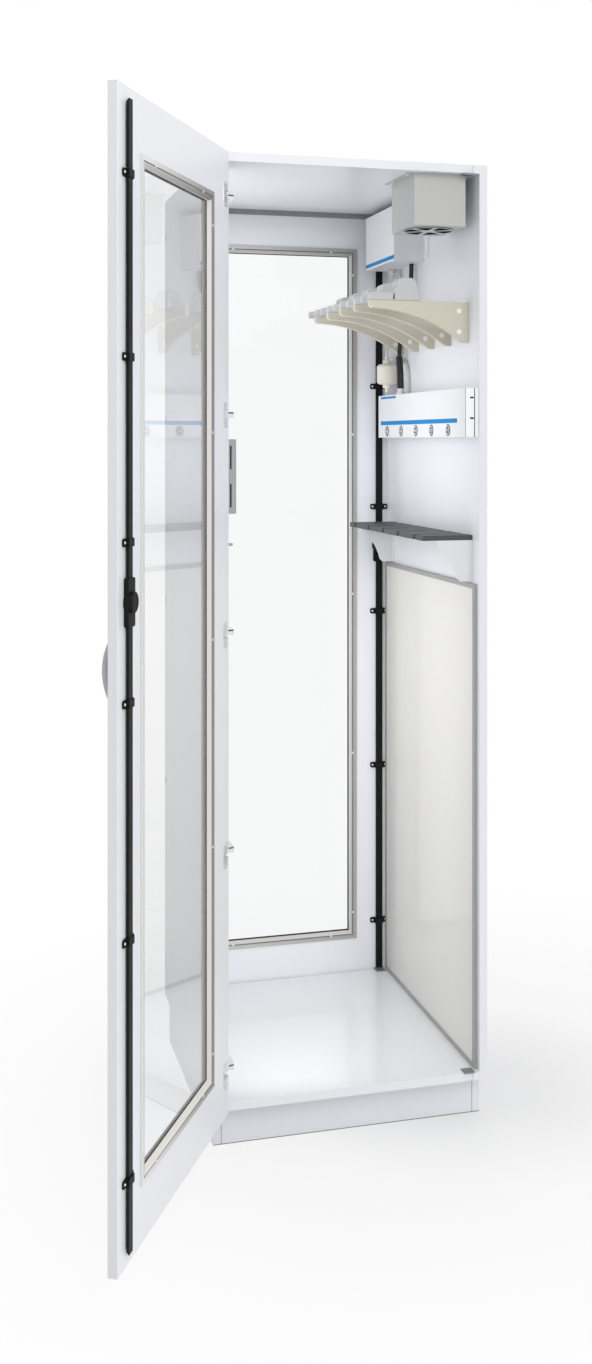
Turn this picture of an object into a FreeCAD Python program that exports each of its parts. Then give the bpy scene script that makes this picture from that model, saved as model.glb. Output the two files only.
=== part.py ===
"""A tall two-door drying cabinet with hangers, fan, air manifold and lock rods.

Frame: +Z up, the front towards -Y, origin on the floor under the middle of the plinth.
The rear door stands closed and the front door stands open, as at rest.
Lengths are in millimetres and angles in degrees.
"""

import FreeCAD, Part
import math
import os
import re

import Sketcher
from FreeCAD import Placement, Rotation, Vector

DOC = FreeCAD.newDocument("drying_cabinet")

# ---------------------------------------------------------------- driving sizes

SIZES = {
    "cabinet_width": 600, "cabinet_depth": 626, "cabinet_height": 2080,
    "board": 18, "plinth_height": 90, "plinth_recess": 45,
    # doors
    "door_thick": 18, "door_gap": 4, "door_margin": 1, "door_round": 1.2,
    "opening_angle": 120, "pivot_inset": 9, "pivot_standoff": 14,
    # window
    "window_margin": 102, "flange_width": 9, "trim_width": 19, "trim_proud": 3,
    "funnel_start": 13, "groove_start": 9.2, "groove_width": 3, "groove_deep": 1.6,
    "glass_thick": 5, "glass_depth": 8, "gasket_thick": 1, "gasket_show": 1.5,
    "cap_radius": 3, "cap_proud": 1.2, "cap_pitch_tall": 412, "cap_from_end": 69,
    # hinges
    "hinge_first": 87, "hinge_pitch": 452.25, "cup_radius": 17.5, "cup_inset": 22.5,
    "cup_deep": 14, "cup_floor": 1, "cup_flange": 1, "cup_slot": 13, "fit_gap": 0.05,
    "cup_flange_wide": 22, "cup_flange_tall": 52,
    "arm_sheet": 2.5, "arm_width": 12, "arm_length": 50, "arm_rise": 19,
    "pin_radius": 2, "pin_length": 21, "eye_radius": 2.9, "base_height": 48,
    # lock rods
    "rod_inset": 42, "rod_width": 17, "rod_thick": 4.5, "rod_standoff": 2.4,
    "rod_end_gap": 22, "rod_bevel": 5, "lock_level": 1209, "lock_length": 83,
    "lock_width": 30, "lock_thick": 9, "boss_radius": 18, "boss_thick": 14,
    "pinion_radius": 7.5, "pinion_teeth": 16, "tooth_up": 0.75, "tooth_down": 1.05,
    "tooth_play": 0.3, "finger_edge": 11.7, "finger_length": 16, "foot_start": 17,
    "foot_length": 5, "spindle_radius": 5, "journal_radius": 3, "knob_radius": 17,
    "guide_height": 14, "guide_reach": 23, "guide_bridge": 11.2, "guide_thick": 9.2,
    "ear_thick": 3, "ear_hole": 2.3, "ear_hole_at": 17.3, "slide_gap": 0.4,
    "strike_length": 20, "strike_width": 24, "strike_sheet": 2, "lip_sheet": 1.6,
    "lip_height": 4, "lip_standoff": 3.7,
    # handle
    "handle_level": 1092, "handle_length": 144, "handle_reach": 26, "handle_width": 12,
    "handle_thick": 8,
    # ceiling fan
    "fan_left": 440, "fan_front": 22, "fan_wide": 118, "fan_deep": 152, "fan_tall": 113,
    "fan_sheet": 1.5, "fan_flange": 17, "fan_frame_side": 114, "fan_frame_tall": 25,
    "fan_bore": 54, "guard_radius": 57.5, "guard_thick": 2, "guard_rim": 53,
    "guard_hub": 16, "spoke_half": 5, "rotor_hub": 17, "rotor_tip": 51.5,
    "rotor_tall": 16, "blade_chord": 15, "blade_thick": 1.8, "blade_pitch_angle": 35,
    # boxes on the right wall
    "control_wide": 77, "control_front": 349, "control_deep": 221, "control_foot": 1914,
    "control_tall": 133, "control_sheet": 1.5, "tab_sheet": 2, "tab_deep": 32,
    "tab_margin": 7, "gland_inset": 24, "gland_at": 520, "nut_radius": 11,
    "nose_radius": 8, "gland_part": 8, "gland_bore": 4,
    "manifold_wide": 32, "manifold_front": 8, "manifold_deep": 596,
    "manifold_foot": 1489, "manifold_tall": 107, "port_level": 1505,
    "port_first": 107, "port_pitch": 107, "port_radius": 10.5, "port_proud": 2.5,
    "filter_radius": 26, "filter_tall": 50, "filter_foot": 1625, "filter_at": 554,
    "neck_radius": 11, "neck_tall": 10, "nipple_radius": 5.5, "nipple_tall": 10,
    # hangers
    "hanger_first": 62, "hanger_pitch": 108.5, "hanger_thick": 12, "hanger_reach": 232,
    "hanger_top": 1788, "hanger_tip": 17, "hanger_wall": 90, "hanger_flat": 14,
    "cradle_length": 119, "prong_thick": 12, "prong_tall": 17.5, "prong_pitch": 54,
    "prong_length": 54, "prong_round": 7, "cradle_base": 4, "hump_top": 50.5,
    "hump_deep": 38,
    # holder rail and drip panel
    "rail_front": 41, "rail_deep": 542, "rail_reach": 116, "rail_foot": 1262,
    "rail_thick": 11, "slot_first": 96, "slot_pitch": 110.5, "slot_width": 14,
    "slot_length": 62, "gusset_tall": 91, "gusset_sheet": 2, "gusset_flange": 14,
    "drip_front": 13, "drip_deep": 610, "drip_top": 1167, "drip_thick": 6,
    "edging_width": 10, "edging_proud": 2,
    # screw caps
    "plate_cap_radius": 5.5, "plate_cap_thick": 1.5, "plate_cap_inset": 23.3,
    "flange_cap_radius": 4, "flange_cap_thick": 2,
    # left wall
    "bracket_at": 100, "bracket_reach": 44, "bracket_foot": 1324, "bracket_tall": 160,
    "slit_at": 30, "peg_level": 1258, "peg_radius": 3,
}

HINGE_COUNT = 5
HANGER_COUNT = 5
PORT_COUNT = 5
SLOT_COUNT = 5
BLADE_COUNT = 7
SPOKE_COUNT = 6
GUIDE_LEVELS = (1931, 1622, 1310, 1039, 639, 236)


def fill_sheet():
    """Write every driving size into a spreadsheet cell with an alias."""
    table = DOC.addObject("Spreadsheet::Sheet", "Sizes")
    for row, (alias, value) in enumerate(SIZES.items(), start=1):
        table.set(f"A{row}", alias)
        table.set(f"B{row}", str(value))
        table.setAlias(f"B{row}", alias)
    DOC.recompute()
    return table


SHEET = fill_sheet()
WORD = re.compile(r"[a-z_]+")
NODES = []


def on_sheet(formula):
    """A formula in plain aliases, with each alias pointing at the sheet."""
    return WORD.sub(lambda m: f"Sizes.{m[0]}" if m[0] in SIZES else m[0], str(formula))


def value(formula):
    """The number that a formula gives with the sheet's sizes."""
    return float(SHEET.evalExpression(on_sheet(formula)))


def bind(target, **formulas):
    """Tie properties of an object to formulas on the sheet."""
    for path, formula in formulas.items():
        target.setExpression(path.replace("__", "."), on_sheet(formula))


def place(target, x=0, y=0, z=0):
    """Tie an object's position to formulas on the sheet."""
    bind(target, Placement__Base__x=x, Placement__Base__y=y, Placement__Base__z=z)
    return target


def node(label, piece):
    """Name a finished piece, so that it is checked and written out."""
    piece.Label = label
    NODES.append(piece)
    return piece


# ---------------------------------------------------------------- places in the frame

LEFT = "(-cabinet_width / 2)"
INNER_LEFT = "(-cabinet_width / 2 + board)"
INNER_RIGHT = "(cabinet_width / 2 - board)"
FRONT = "(-cabinet_depth / 2)"
REAR = "(cabinet_depth / 2)"
FLOOR = "(plinth_height + board)"
CEILING = "(cabinet_height - board)"
DOOR_IN = "(cabinet_depth / 2 + door_gap)"
DOOR_OUT = "(cabinet_depth / 2 + door_gap + door_thick)"
DOOR_FOOT = "(plinth_height + door_margin)"
DOOR_HEAD = "(cabinet_height - door_margin)"
PIVOT_X = "(-cabinet_width / 2 + pivot_inset)"
PIVOT_Y = "(cabinet_depth / 2 + pivot_standoff)"
ROD_X = "(cabinet_width / 2 - rod_inset)"
ROD_FACE = "(cabinet_depth / 2 + door_gap - rod_standoff)"


def hinge_level(index):
    """Height of one hinge, counted from the lowest."""
    return f"({DOOR_FOOT} + hinge_first + {index} * hinge_pitch)"


# ---------------------------------------------------------------- solids

ALONG_Y = Rotation(Vector(1, 0, 0), -90)
ALONG_X = Rotation(Vector(0, 1, 0), 90)


def box(name, size, corner):
    """A block with one corner and its three edge lengths on the sheet."""
    block = DOC.addObject("Part::Box", name)
    bind(block, Length=size[0], Width=size[1], Height=size[2])
    return place(block, *corner)


def cylinder(name, radius, height, start, turn=None):
    """A round bar from a start point, along Z unless it is turned."""
    bar = DOC.addObject("Part::Cylinder", name)
    if turn:
        bar.Placement = Placement(Vector(), turn)
    bind(bar, Radius=radius, Height=height)
    return place(bar, *start)


def fuse(name, pieces):
    """Pieces joined into one solid."""
    joined = DOC.addObject("Part::MultiFuse", name)
    joined.Shapes = pieces
    return joined


def cut(name, base, tools):
    """A solid with one or more others taken out of it."""
    result = DOC.addObject("Part::Cut", name)
    result.Base = base
    result.Tool = tools[0] if len(tools) == 1 else fuse(name + "_tools", tools)
    return result


def group(name, pieces):
    """Like pieces kept as separate solids under one name."""
    bundle = DOC.addObject("Part::Compound", name)
    bundle.Links = pieces
    return bundle


def mirrored(name, source):
    """The same piece on the other side of the middle plane between the two doors."""
    twin = DOC.addObject("Part::Mirroring", name)
    twin.Source = source
    twin.Normal = Vector(0, 1, 0)
    return twin


# ---------------------------------------------------------------- sketched bodies

def new_body(name, x=0, y=0, z=0):
    """An empty body placed in the frame."""
    return place(DOC.addObject("PartDesign::Body", name), x, y, z)


def rectangle(low_x, low_y, high_x, high_y):
    """Corner formulas of an upright rectangle."""
    return [(low_x, low_y), (high_x, low_y), (high_x, high_y), (low_x, high_y)]


def inset_frame(inset):
    """Corners of a rectangle at one inset from all four edges of a door."""
    return rectangle(f"({LEFT} + {inset})", f"({DOOR_FOOT} + {inset})",
                     f"(cabinet_width / 2 - {inset})", f"({DOOR_HEAD} - {inset})")


def arc_between(start, end, radius, side):
    """The short arc from start to end, bulging to the left for side 1, else right."""
    chord = end - start
    drop = radius - math.sqrt(radius ** 2 - chord.Length ** 2 / 4)
    outward = Vector(-chord.y, chord.x, 0).normalize() * side
    return Part.Arc(start, (start + end) / 2 + outward * drop, end)


def add_outline(sketch, corners):
    """A closed outline whose corners are tied to the sheet.

    A corner is (x, y), or (x, y, radius, side) where an arc runs to the next corner.
    """
    first = sketch.GeometryCount
    spots = [Vector(value(c[0]), value(c[1]), 0) for c in corners]
    ends = []
    for index, corner in enumerate(corners):
        start = spots[index]
        end = spots[(index + 1) % len(spots)]
        if len(corner) == 4:
            edge = arc_between(start, end, value(corner[2]), corner[3])
        else:
            edge = Part.LineSegment(start, end)
        at = sketch.addGeometry(edge, False)
        begins = (sketch.getPoint(at, 1) - start).Length < 1e-6
        ends.append((1, 2) if begins else (2, 1))
        if len(corner) == 4:
            tie(sketch, Sketcher.Constraint("Radius", at, value(corner[2])), corner[2])
    for index, corner in enumerate(corners):
        following = (index + 1) % len(corners)
        sketch.addConstraint(Sketcher.Constraint(
            "Coincident", first + index, ends[index][1],
            first + following, ends[following][0]))
        at = (first + index, ends[index][0])
        tie(sketch, Sketcher.Constraint("DistanceX", -1, 1, *at, spots[index].x), corner[0])
        tie(sketch, Sketcher.Constraint("DistanceY", -1, 1, *at, spots[index].y), corner[1])


def add_circle(sketch, x, y, radius):
    """A circle whose centre and radius are tied to the sheet."""
    centre = Vector(value(x), value(y), 0)
    at = sketch.addGeometry(Part.Circle(centre, Vector(0, 0, 1), value(radius)), False)
    tie(sketch, Sketcher.Constraint("Radius", at, value(radius)), radius)
    tie(sketch, Sketcher.Constraint("DistanceX", -1, 1, at, 3, centre.x), x)
    tie(sketch, Sketcher.Constraint("DistanceY", -1, 1, at, 3, centre.y), y)


def tie(sketch, constraint, formula):
    """Add a dimension and drive it from the sheet."""
    at = sketch.addConstraint(constraint)
    name = f"size{at}"
    sketch.renameConstraint(at, name)
    sketch.setExpression(f"Constraints.{name}", on_sheet(formula))


def new_sketch(body, name, plane, outlines=(), circles=(), lift="0"):
    """A sketch on one of the body's own origin planes, lifted along its normal."""
    sketch = body.newObject("Sketcher::SketchObject", name)
    support = next(f for f in body.Origin.OriginFeatures if f.Role == plane + "_Plane")
    sketch.AttachmentSupport = [(support, "")]
    sketch.MapMode = "FlatFace"
    bind(sketch, AttachmentOffset__Base__z=lift)
    for corners in outlines:
        add_outline(sketch, corners)
    for circle in circles:
        add_circle(sketch, *circle)
    return sketch


def extrude(body, kind, name, sketch, length, flip=False, both=False):
    """A pad or pocket of a sketch by a length on the sheet."""
    feature = body.newObject(f"PartDesign::{kind}", name)
    feature.Profile = sketch
    feature.Reversed = flip
    if both:
        feature.SideType = "Symmetric"
    bind(feature, Length=length)
    sketch.Visibility = False
    return feature


def pad(body, name, sketch, length, flip=False, both=False):
    """Material added along the sketch's normal."""
    return extrude(body, "Pad", name, sketch, length, flip, both)


def pocket(body, name, sketch, length, flip=False, both=False):
    """Material taken away against the sketch's normal, which must shrink the body."""
    DOC.recompute()
    before = body.Shape.Volume
    feature = extrude(body, "Pocket", name, sketch, length, flip, both)
    DOC.recompute()
    if body.Shape.Volume > before - 1e-3:
        raise ValueError(f"{body.Name}.{name} takes nothing away")
    return feature


def repeat(body, name, features, sketch, axis, pitch, count):
    """A straight row of features along one axis of a sketch."""
    row = body.newObject("PartDesign::LinearPattern", name)
    row.Originals = features
    row.Direction = (sketch, [axis])
    row.Occurrences = count
    bind(row, Length=f"{pitch} * {count - 1}")
    body.Tip = row
    return row


def round_edges(body, name, radius, chosen):
    """A fillet on the edges that a test picks out of the body's shape."""
    DOC.recompute()
    picked = [f"Edge{i}" for i, e in enumerate(body.Shape.Edges, start=1) if chosen(e)]
    latest = body.Tip
    fillet = body.newObject("PartDesign::Fillet", name)
    fillet.Base = (latest, picked)
    bind(fillet, Radius=radius)
    body.Tip = fillet
    return fillet


def lies_at(edge, axis, level):
    """True where the whole edge lies at one level along an axis."""
    low, high = getattr(edge.BoundBox, axis + "Min"), getattr(edge.BoundBox, axis + "Max")
    return abs(low - level) < 1e-3 and abs(high - level) < 1e-3


# ---------------------------------------------------------------- carcass

def build_carcass():
    """Side, top and floor panels on a recessed plinth, and the rear ceiling strip."""
    tall = "cabinet_height - plinth_height"
    for label, x in (("left_side_panel", LEFT), ("right_side_panel", INNER_RIGHT)):
        node(label, box(label, ("board", "cabinet_depth", tall),
                        (x, FRONT, "plinth_height")))
    inner_width = "cabinet_width - 2 * board"
    mortise = ("rod_width + 1.6", "rod_standoff + 1", "board + 2")

    def mortises(name, z):
        return [box(f"{name}_{side}", mortise, (f"({ROD_X} - (rod_width + 1.6) / 2)", y, z))
                for side, y in (("front", FRONT), ("rear", f"({REAR} - rod_standoff - 1)"))]

    top = box("top_board", (inner_width, "cabinet_depth", "board"),
              (INNER_LEFT, FRONT, CEILING))
    slots = [box(f"air_slot_{i}", ("80", "8", "board + 2"),
                 ("fan_left + fan_wide / 2 - cabinet_width / 2 - 40",
                  f"{FRONT} + fan_front + fan_deep / 2 + {(i - 2) * 20} - 4",
                  f"{CEILING} - 1"))
             for i in range(5)]
    node("top_panel", cut("top_panel_cut", top,
                          mortises("top_mortise", f"({CEILING} - 1)") + slots))
    floor = box("floor_board", (inner_width, "cabinet_depth", "board"),
                (INNER_LEFT, FRONT, "plinth_height"))
    node("floor_panel", cut("floor_panel_cut", floor,
                            mortises("floor_mortise", "(plinth_height - 1)")))

    run = "cabinet_depth - 2 * plinth_recess"
    sides = [box(f"plinth_side_{i}", ("board", run, "plinth_height"),
                 (x, f"{FRONT} + plinth_recess", 0))
             for i, x in enumerate((LEFT, INNER_RIGHT))]
    node("plinth_side_boards", group("plinth_sides", sides))
    crosses = [box(f"plinth_cross_{i}", (inner_width, "board", "plinth_height"),
                   (INNER_LEFT, y, 0))
               for i, y in enumerate((f"{FRONT} + plinth_recess", "-board / 2",
                                      f"{REAR} - plinth_recess - board"))]
    node("plinth_cross_boards", group("plinth_crosses", crosses))
    node("ceiling_seal_strip", box("ceiling_strip", (inner_width, "12", "12"),
                                   (INNER_LEFT, f"{REAR} - 40", f"{CEILING} - 12")))


# ---------------------------------------------------------------- rear door, closed

def build_door_panel():
    """The slab with its window opening, hinge bores, notches and spindle hole."""
    slab = new_body("door_slab", y=DOOR_IN)
    opening = "(window_margin + flange_width)"
    face = new_sketch(slab, "slab_outline", "XZ", (inset_frame("0"), inset_frame(opening)))
    pad(slab, "slab", face, "door_thick", flip=True)
    outer = value("door_thick")
    wide, foot, head = value("cabinet_width / 2"), value(DOOR_FOOT), value(DOOR_HEAD)

    def on_rim(edge):
        box_ = edge.BoundBox
        on_face = lies_at(edge, "Y", value(DOOR_IN)) or lies_at(
            edge, "Y", value(DOOR_IN) + outer)
        return on_face and (
            lies_at(edge, "X", -wide) or lies_at(edge, "X", wide)
            or abs(box_.ZMin - head) < 1e-3 or abs(box_.ZMax - foot) < 1e-3)

    round_edges(slab, "rim_round", "door_round", on_rim)
    cup_at = f"({LEFT} + cup_inset)"
    bore = new_sketch(slab, "bore_circle", "XZ",
                      circles=[(cup_at, hinge_level(0), "cup_radius + 0.1")])
    bored = pocket(slab, "bore", bore, "cup_deep + 0.1")
    notch = new_sketch(slab, "notch_outline", "XZ", [rectangle(
        f"({LEFT} - 1)", f"({hinge_level(0)} - cup_slot / 2 - 0.5)",
        PIVOT_X, f"({hinge_level(0)} + cup_slot / 2 + 0.5)")])
    notched = pocket(slab, "notch", notch, "cup_deep + 0.1")
    relief = new_sketch(slab, "relief_outline", "XZ", [rectangle(
        f"({PIVOT_X} - pin_radius - 0.4)", f"({hinge_level(0)} - pin_length / 2 - 0.5)",
        PIVOT_X, f"({hinge_level(0)} + pin_length / 2 + 0.5)")])
    relieved = pocket(slab, "relief", relief, "cup_deep + 0.1")
    repeat(slab, "bore_row", [bored, notched, relieved], bore, "V_Axis", "hinge_pitch",
           HINGE_COUNT)
    hole = new_sketch(slab, "spindle_hole_circle", "XZ",
                      circles=[(ROD_X, "lock_level", "spindle_radius + fit_gap")])
    pocket(slab, "spindle_hole", hole, "door_thick")
    return slab


def build_trim(name, face, sleeve, outward, grooved):
    """A window trim: flange on the face, sleeve into the opening, sloping reveal."""
    trim = new_body(name, y=face)
    shown = "(window_margin + trim_width)"
    flange = new_sketch(trim, "flange_outline", "XZ",
                        (inset_frame("window_margin"), inset_frame(shown)))
    pad(trim, "flange", flange, "trim_proud", flip=outward)
    wall = new_sketch(trim, "sleeve_outline", "XZ",
                      (inset_frame("(window_margin + flange_width + 0.3)"),
                       inset_frame(shown)))
    pad(trim, "sleeve", wall, sleeve, flip=not outward)
    sign = "-" if outward else ""
    mouth = new_sketch(trim, "mouth_outline", "XZ",
                       [inset_frame("(window_margin + funnel_start)")],
                       lift=f"{sign}(trim_proud)")
    throat = new_sketch(trim, "throat_outline", "XZ", [inset_frame(shown)],
                        lift=f"-{sign}({sleeve})" if not outward else f"({sleeve})")
    reveal = trim.newObject("PartDesign::SubtractiveLoft", "reveal")
    reveal.Profile = mouth
    reveal.Sections = [throat]
    reveal.Ruled = True
    trim.Tip = reveal
    if grooved:
        channel = new_sketch(
            trim, "groove_outline", "XZ",
            (inset_frame("(window_margin + groove_start)"),
             inset_frame("(window_margin + groove_start + groove_width)")),
            lift="trim_proud")
        pocket(trim, "groove", channel, "groove_deep")
    return trim


def build_glass_and_gaskets():
    """The pane and the two thin gasket frames that it is held between."""
    edge = "(window_margin + flange_width + 1)"
    see = "(window_margin + trim_width + gasket_show)"
    tall = f"({DOOR_HEAD} - {DOOR_FOOT})"
    pane = box("pane", (f"cabinet_width - 2 * {edge}", "glass_thick", f"{tall} - 2 * {edge}"),
               (f"{LEFT} + {edge}", f"{DOOR_IN} + glass_depth", f"{DOOR_FOOT} + {edge}"))
    frames = []
    for side, y in (("in", f"({DOOR_IN} + glass_depth - gasket_thick)"),
                    ("out", f"({DOOR_IN} + glass_depth + glass_thick)")):
        whole = box(f"gasket_{side}", (f"cabinet_width - 2 * {edge}", "gasket_thick",
                                       f"{tall} - 2 * {edge}"),
                    (f"{LEFT} + {edge}", y, f"{DOOR_FOOT} + {edge}"))
        sight = box(f"gasket_sight_{side}", (f"cabinet_width - 2 * {see}", "gasket_thick + 2",
                                             f"{tall} - 2 * {see}"),
                    (f"{LEFT} + {see}", f"{y} - 1", f"{DOOR_FOOT} + {see}"))
        frames.append(cut(f"gasket_frame_{side}", whole, [sight]))
    return pane, group("gaskets", frames)


def build_trim_caps():
    """Low domed caps over the groove of the inner trim."""
    inset = "(window_margin + groove_start + groove_width / 2)"
    middle = f"(({DOOR_FOOT} + {DOOR_HEAD}) / 2)"
    spots = []
    for x in (f"({LEFT} + {inset})", f"(cabinet_width / 2 - {inset})"):
        spots += [(x, f"({middle} + {step} * cap_pitch_tall)") for step in range(-2, 3)]
    for z in (f"({DOOR_FOOT} + {inset})", f"({DOOR_HEAD} - {inset})"):
        spots += [(f"({LEFT} + window_margin + cap_from_end)", z),
                  (f"(cabinet_width / 2 - window_margin - cap_from_end)", z)]
    caps = []
    for index, (x, z) in enumerate(spots):
        cap = DOC.addObject("Part::Cone", f"trim_cap_{index}")
        cap.Placement = Placement(Vector(), Rotation(Vector(1, 0, 0), 90))
        bind(cap, Radius1="cap_radius", Radius2="cap_radius * 0.7", Height="cap_proud")
        caps.append(place(cap, x, f"{DOOR_IN} - trim_proud", z))
    return group("trim_caps", caps)


def build_hinge_cups():
    """Round cups let into the door, slotted for the arm and bored for its pin."""
    cups = []
    for index in range(HINGE_COUNT):
        level = hinge_level(index)
        cup = cylinder(f"cup_{index}", "cup_radius", "cup_deep",
                       (f"{LEFT} + cup_inset", DOOR_IN, level), ALONG_Y)
        flange = box(f"cup_flange_{index}", ("cup_flange_wide", "cup_flange", "cup_flange_tall"),
                     (f"{LEFT} + 12", f"{DOOR_IN} - cup_flange",
                      f"{level} - cup_flange_tall / 2"))
        slot = box(f"cup_slot_{index}", ("cup_inset + 10", "cup_deep + 1", "cup_slot"),
                   (f"{LEFT} - 1", f"{DOOR_IN} - cup_floor - 1", f"{level} - cup_slot / 2"))
        hole = cylinder(f"cup_hole_{index}", "pin_radius + fit_gap", "40",
                        (PIVOT_X, PIVOT_Y, f"{level} - 20"))
        cups.append(cut(f"hinge_cup_{index}",
                        fuse(f"cup_whole_{index}", [cup, flange]), [slot, hole]))
    return group("cups", cups)


def build_hinge_arms():
    """Arms on the side panel that reach round its edge to the pin in each cup."""
    arms = []
    bend = "0.35 * arm_sheet"
    for index in range(HINGE_COUNT):
        arm = new_body(f"arm_{index}", LEFT, REAR, hinge_level(index))
        outline = new_sketch(arm, "arm_outline", "XY", [[
            (f"pivot_inset - {bend}", f"pivot_standoff - {bend}"),
            ("board + 0.3", "2"),
            ("board + 0.3", "-arm_length"),
            ("board + arm_rise", "-arm_length"),
            ("board + arm_rise", "-7"),
            ("board + 0.3 + arm_sheet", "-2"),
            ("board + 0.3 + arm_sheet", "3"),
            (f"pivot_inset + {bend}", f"pivot_standoff + {bend}")]])
        pad(arm, "arm_bar", outline, "arm_width", both=True)
        eye = new_sketch(arm, "eye_circle", "XY",
                         circles=[("pivot_inset", "pivot_standoff", "eye_radius")])
        pad(arm, "eye", eye, "arm_width", both=True)
        pin = new_sketch(arm, "pin_circle", "XY",
                         circles=[("pivot_inset", "pivot_standoff", "pin_radius")])
        pad(arm, "pin", pin, "pin_length", both=True)
        base = new_sketch(arm, "base_outline", "XY",
                          [rectangle("board", "-46", "board + 2", "-16")])
        pad(arm, "base_plate", base, "base_height", both=True)
        arms.append(arm)
    return group("arms", arms)


def rack_corners(top, sign):
    """Corners of one rod end: a toothed finger, a wide foot and the bar above it.

    The upper rod has sign 1 and its teeth on the right; the lower rod is its half turn.
    """
    pitch = "(2 * pi * pinion_radius / pinion_teeth)"
    tip = "(pinion_radius - tooth_up)"
    root = "(pinion_radius + tooth_down)"
    half_tip = f"({pitch} / 4 - tooth_play / 2 - tooth_up * 0.36)"
    half_root = f"({pitch} / 4 - tooth_play / 2 + tooth_down * 0.36)"
    end = "(rod_width / 2)"
    corners = [("finger_edge", "-finger_length"), ("finger_edge", "foot_start + foot_length"),
               (end, "foot_start + foot_length"), (end, top), (f"-{end}", top),
               (f"-{end}", "foot_start"), (root, "foot_start")]
    for step in range(1, -6, -1):
        centre = f"({step} * {pitch})"
        corners += [(root, f"{centre} + {half_root}"), (tip, f"{centre} + {half_tip}"),
                    (tip, f"{centre} - {half_tip}"), (root, f"{centre} - {half_root}")]
    corners.append((root, "-finger_length"))
    if sign > 0:
        return corners
    return [(f"-({x})", f"-({y})") for x, y in corners]


def build_rod(name, reach, sign):
    """A flat lock rod with a bevelled outer end and a rack at the lock."""
    rod = new_body(name, ROD_X, ROD_FACE, "lock_level")
    outline = new_sketch(rod, "rod_outline", "XZ", [rack_corners(reach, sign)])
    pad(rod, "rod", outline, "rod_thick")
    end = f"({reach})" if sign > 0 else f"-({reach})"
    inner = f"({reach} - rod_bevel)" if sign > 0 else f"-({reach} - rod_bevel)"
    wedge = new_sketch(rod, "bevel_outline", "YZ",
                       [[("0", inner), ("-rod_thick", end), ("0", end)]])
    pocket(rod, "bevel", wedge, "rod_width * 2", both=True)
    return rod


def build_guides():
    """Black two-eared guides that each rod slides through."""
    guides = []
    for index, level in enumerate(GUIDE_LEVELS):
        guide = new_body(f"guide_{index}", ROD_X, DOOR_IN, f"{level}")
        way = "(rod_width / 2 + slide_gap)"
        section = new_sketch(guide, "guide_section", "XY", [
            [("-guide_reach", "0"), ("guide_reach", "0"), ("guide_reach", "-ear_thick"),
             ("guide_bridge", "-ear_thick"), ("guide_bridge", "-guide_thick"),
             ("-guide_bridge", "-guide_thick"), ("-guide_bridge", "-ear_thick"),
             ("-guide_reach", "-ear_thick")],
            rectangle(f"-{way}", "-rod_standoff - rod_thick - slide_gap", way,
                      "-rod_standoff + slide_gap")])
        pad(guide, "guide", section, "guide_height", both=True)
        holes = new_sketch(guide, "ear_holes_circles", "XZ",
                           circles=[("-ear_hole_at", "0", "ear_hole"),
                                    ("ear_hole_at", "0", "ear_hole")], lift="guide_thick")
        pocket(guide, "ear_holes", holes, "guide_thick + 1")
        reach = value("guide_reach")
        centre = value(ROD_X)
        round_edges(guide, "ear_round", "4", lambda edge: abs(
            abs(edge.BoundBox.Center.x - centre) - reach) < 1e-3
            and edge.BoundBox.YLength > value("ear_thick") - 0.1)
        guides.append(guide)
    return group("guides", guides)


def build_lock_case():
    """The lock case: a cover over the racks with a round boss over the pinion."""
    case = new_body("lock_cover", ROD_X, DOOR_IN, "lock_level")
    half = "(lock_width / 2)"
    tall = "(lock_length / 2)"
    cover = new_sketch(case, "cover_outline", "XZ",
                       [rectangle(f"-{half}", f"-{tall}", half, tall)])
    pad(case, "cover", cover, "lock_thick")
    boss = new_sketch(case, "boss_circle", "XZ", circles=[("0", "0", "boss_radius")])
    pad(case, "boss", boss, "boss_thick")
    low, high = value("lock_level - lock_length / 2"), value("lock_level + lock_length / 2")
    round_edges(case, "end_round", "4", lambda edge: edge.BoundBox.YLength > 8 and (
        abs(edge.BoundBox.ZMax - low) < 1e-3 or abs(edge.BoundBox.ZMin - high) < 1e-3))
    inner = "(finger_edge + 0.5)"
    hollow = new_sketch(case, "hollow_outline", "XZ", [rectangle(
        f"-{inner}", f"-({tall} - 6)", inner, f"({tall} - 6)")])
    pocket(case, "hollow", hollow, "rod_standoff + rod_thick + slide_gap", flip=True)
    way = "(rod_width / 2 + slide_gap)"
    ends = new_sketch(case, "way_outline", "XZ", [rectangle(
        f"-{way}", f"-({tall} + 1)", way, f"({tall} + 1)")])
    pocket(case, "way", ends, "rod_standoff + rod_thick + slide_gap", flip=True)
    bearing = new_sketch(case, "bearing_circle", "XZ",
                         circles=[("0", "0", "journal_radius + fit_gap")])
    pocket(case, "bearing", bearing, "boss_thick - 3", flip=True)
    return case


def gear_outline(radius, teeth):
    """Points of a gear's edge: flat-sided teeth, with a gap centred on angle zero."""
    up, down, play = value("tooth_up"), value("tooth_down"), value("tooth_play")
    quarter = math.pi / teeth / 2
    slack = play / 2 / radius
    points = []
    for tooth in range(teeth):
        centre = (tooth + 0.5) * 2 * math.pi / teeth
        for at, spread in ((radius - down, 1.45), (radius + up, 0.42)):
            points.append((at, centre - quarter * spread + slack))
        for at, spread in ((radius + up, 0.42), (radius - down, 1.45)):
            points.append((at, centre + quarter * spread - slack))
    return [Vector(r * math.cos(a), 0, r * math.sin(a)) for r, a in points]


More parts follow.
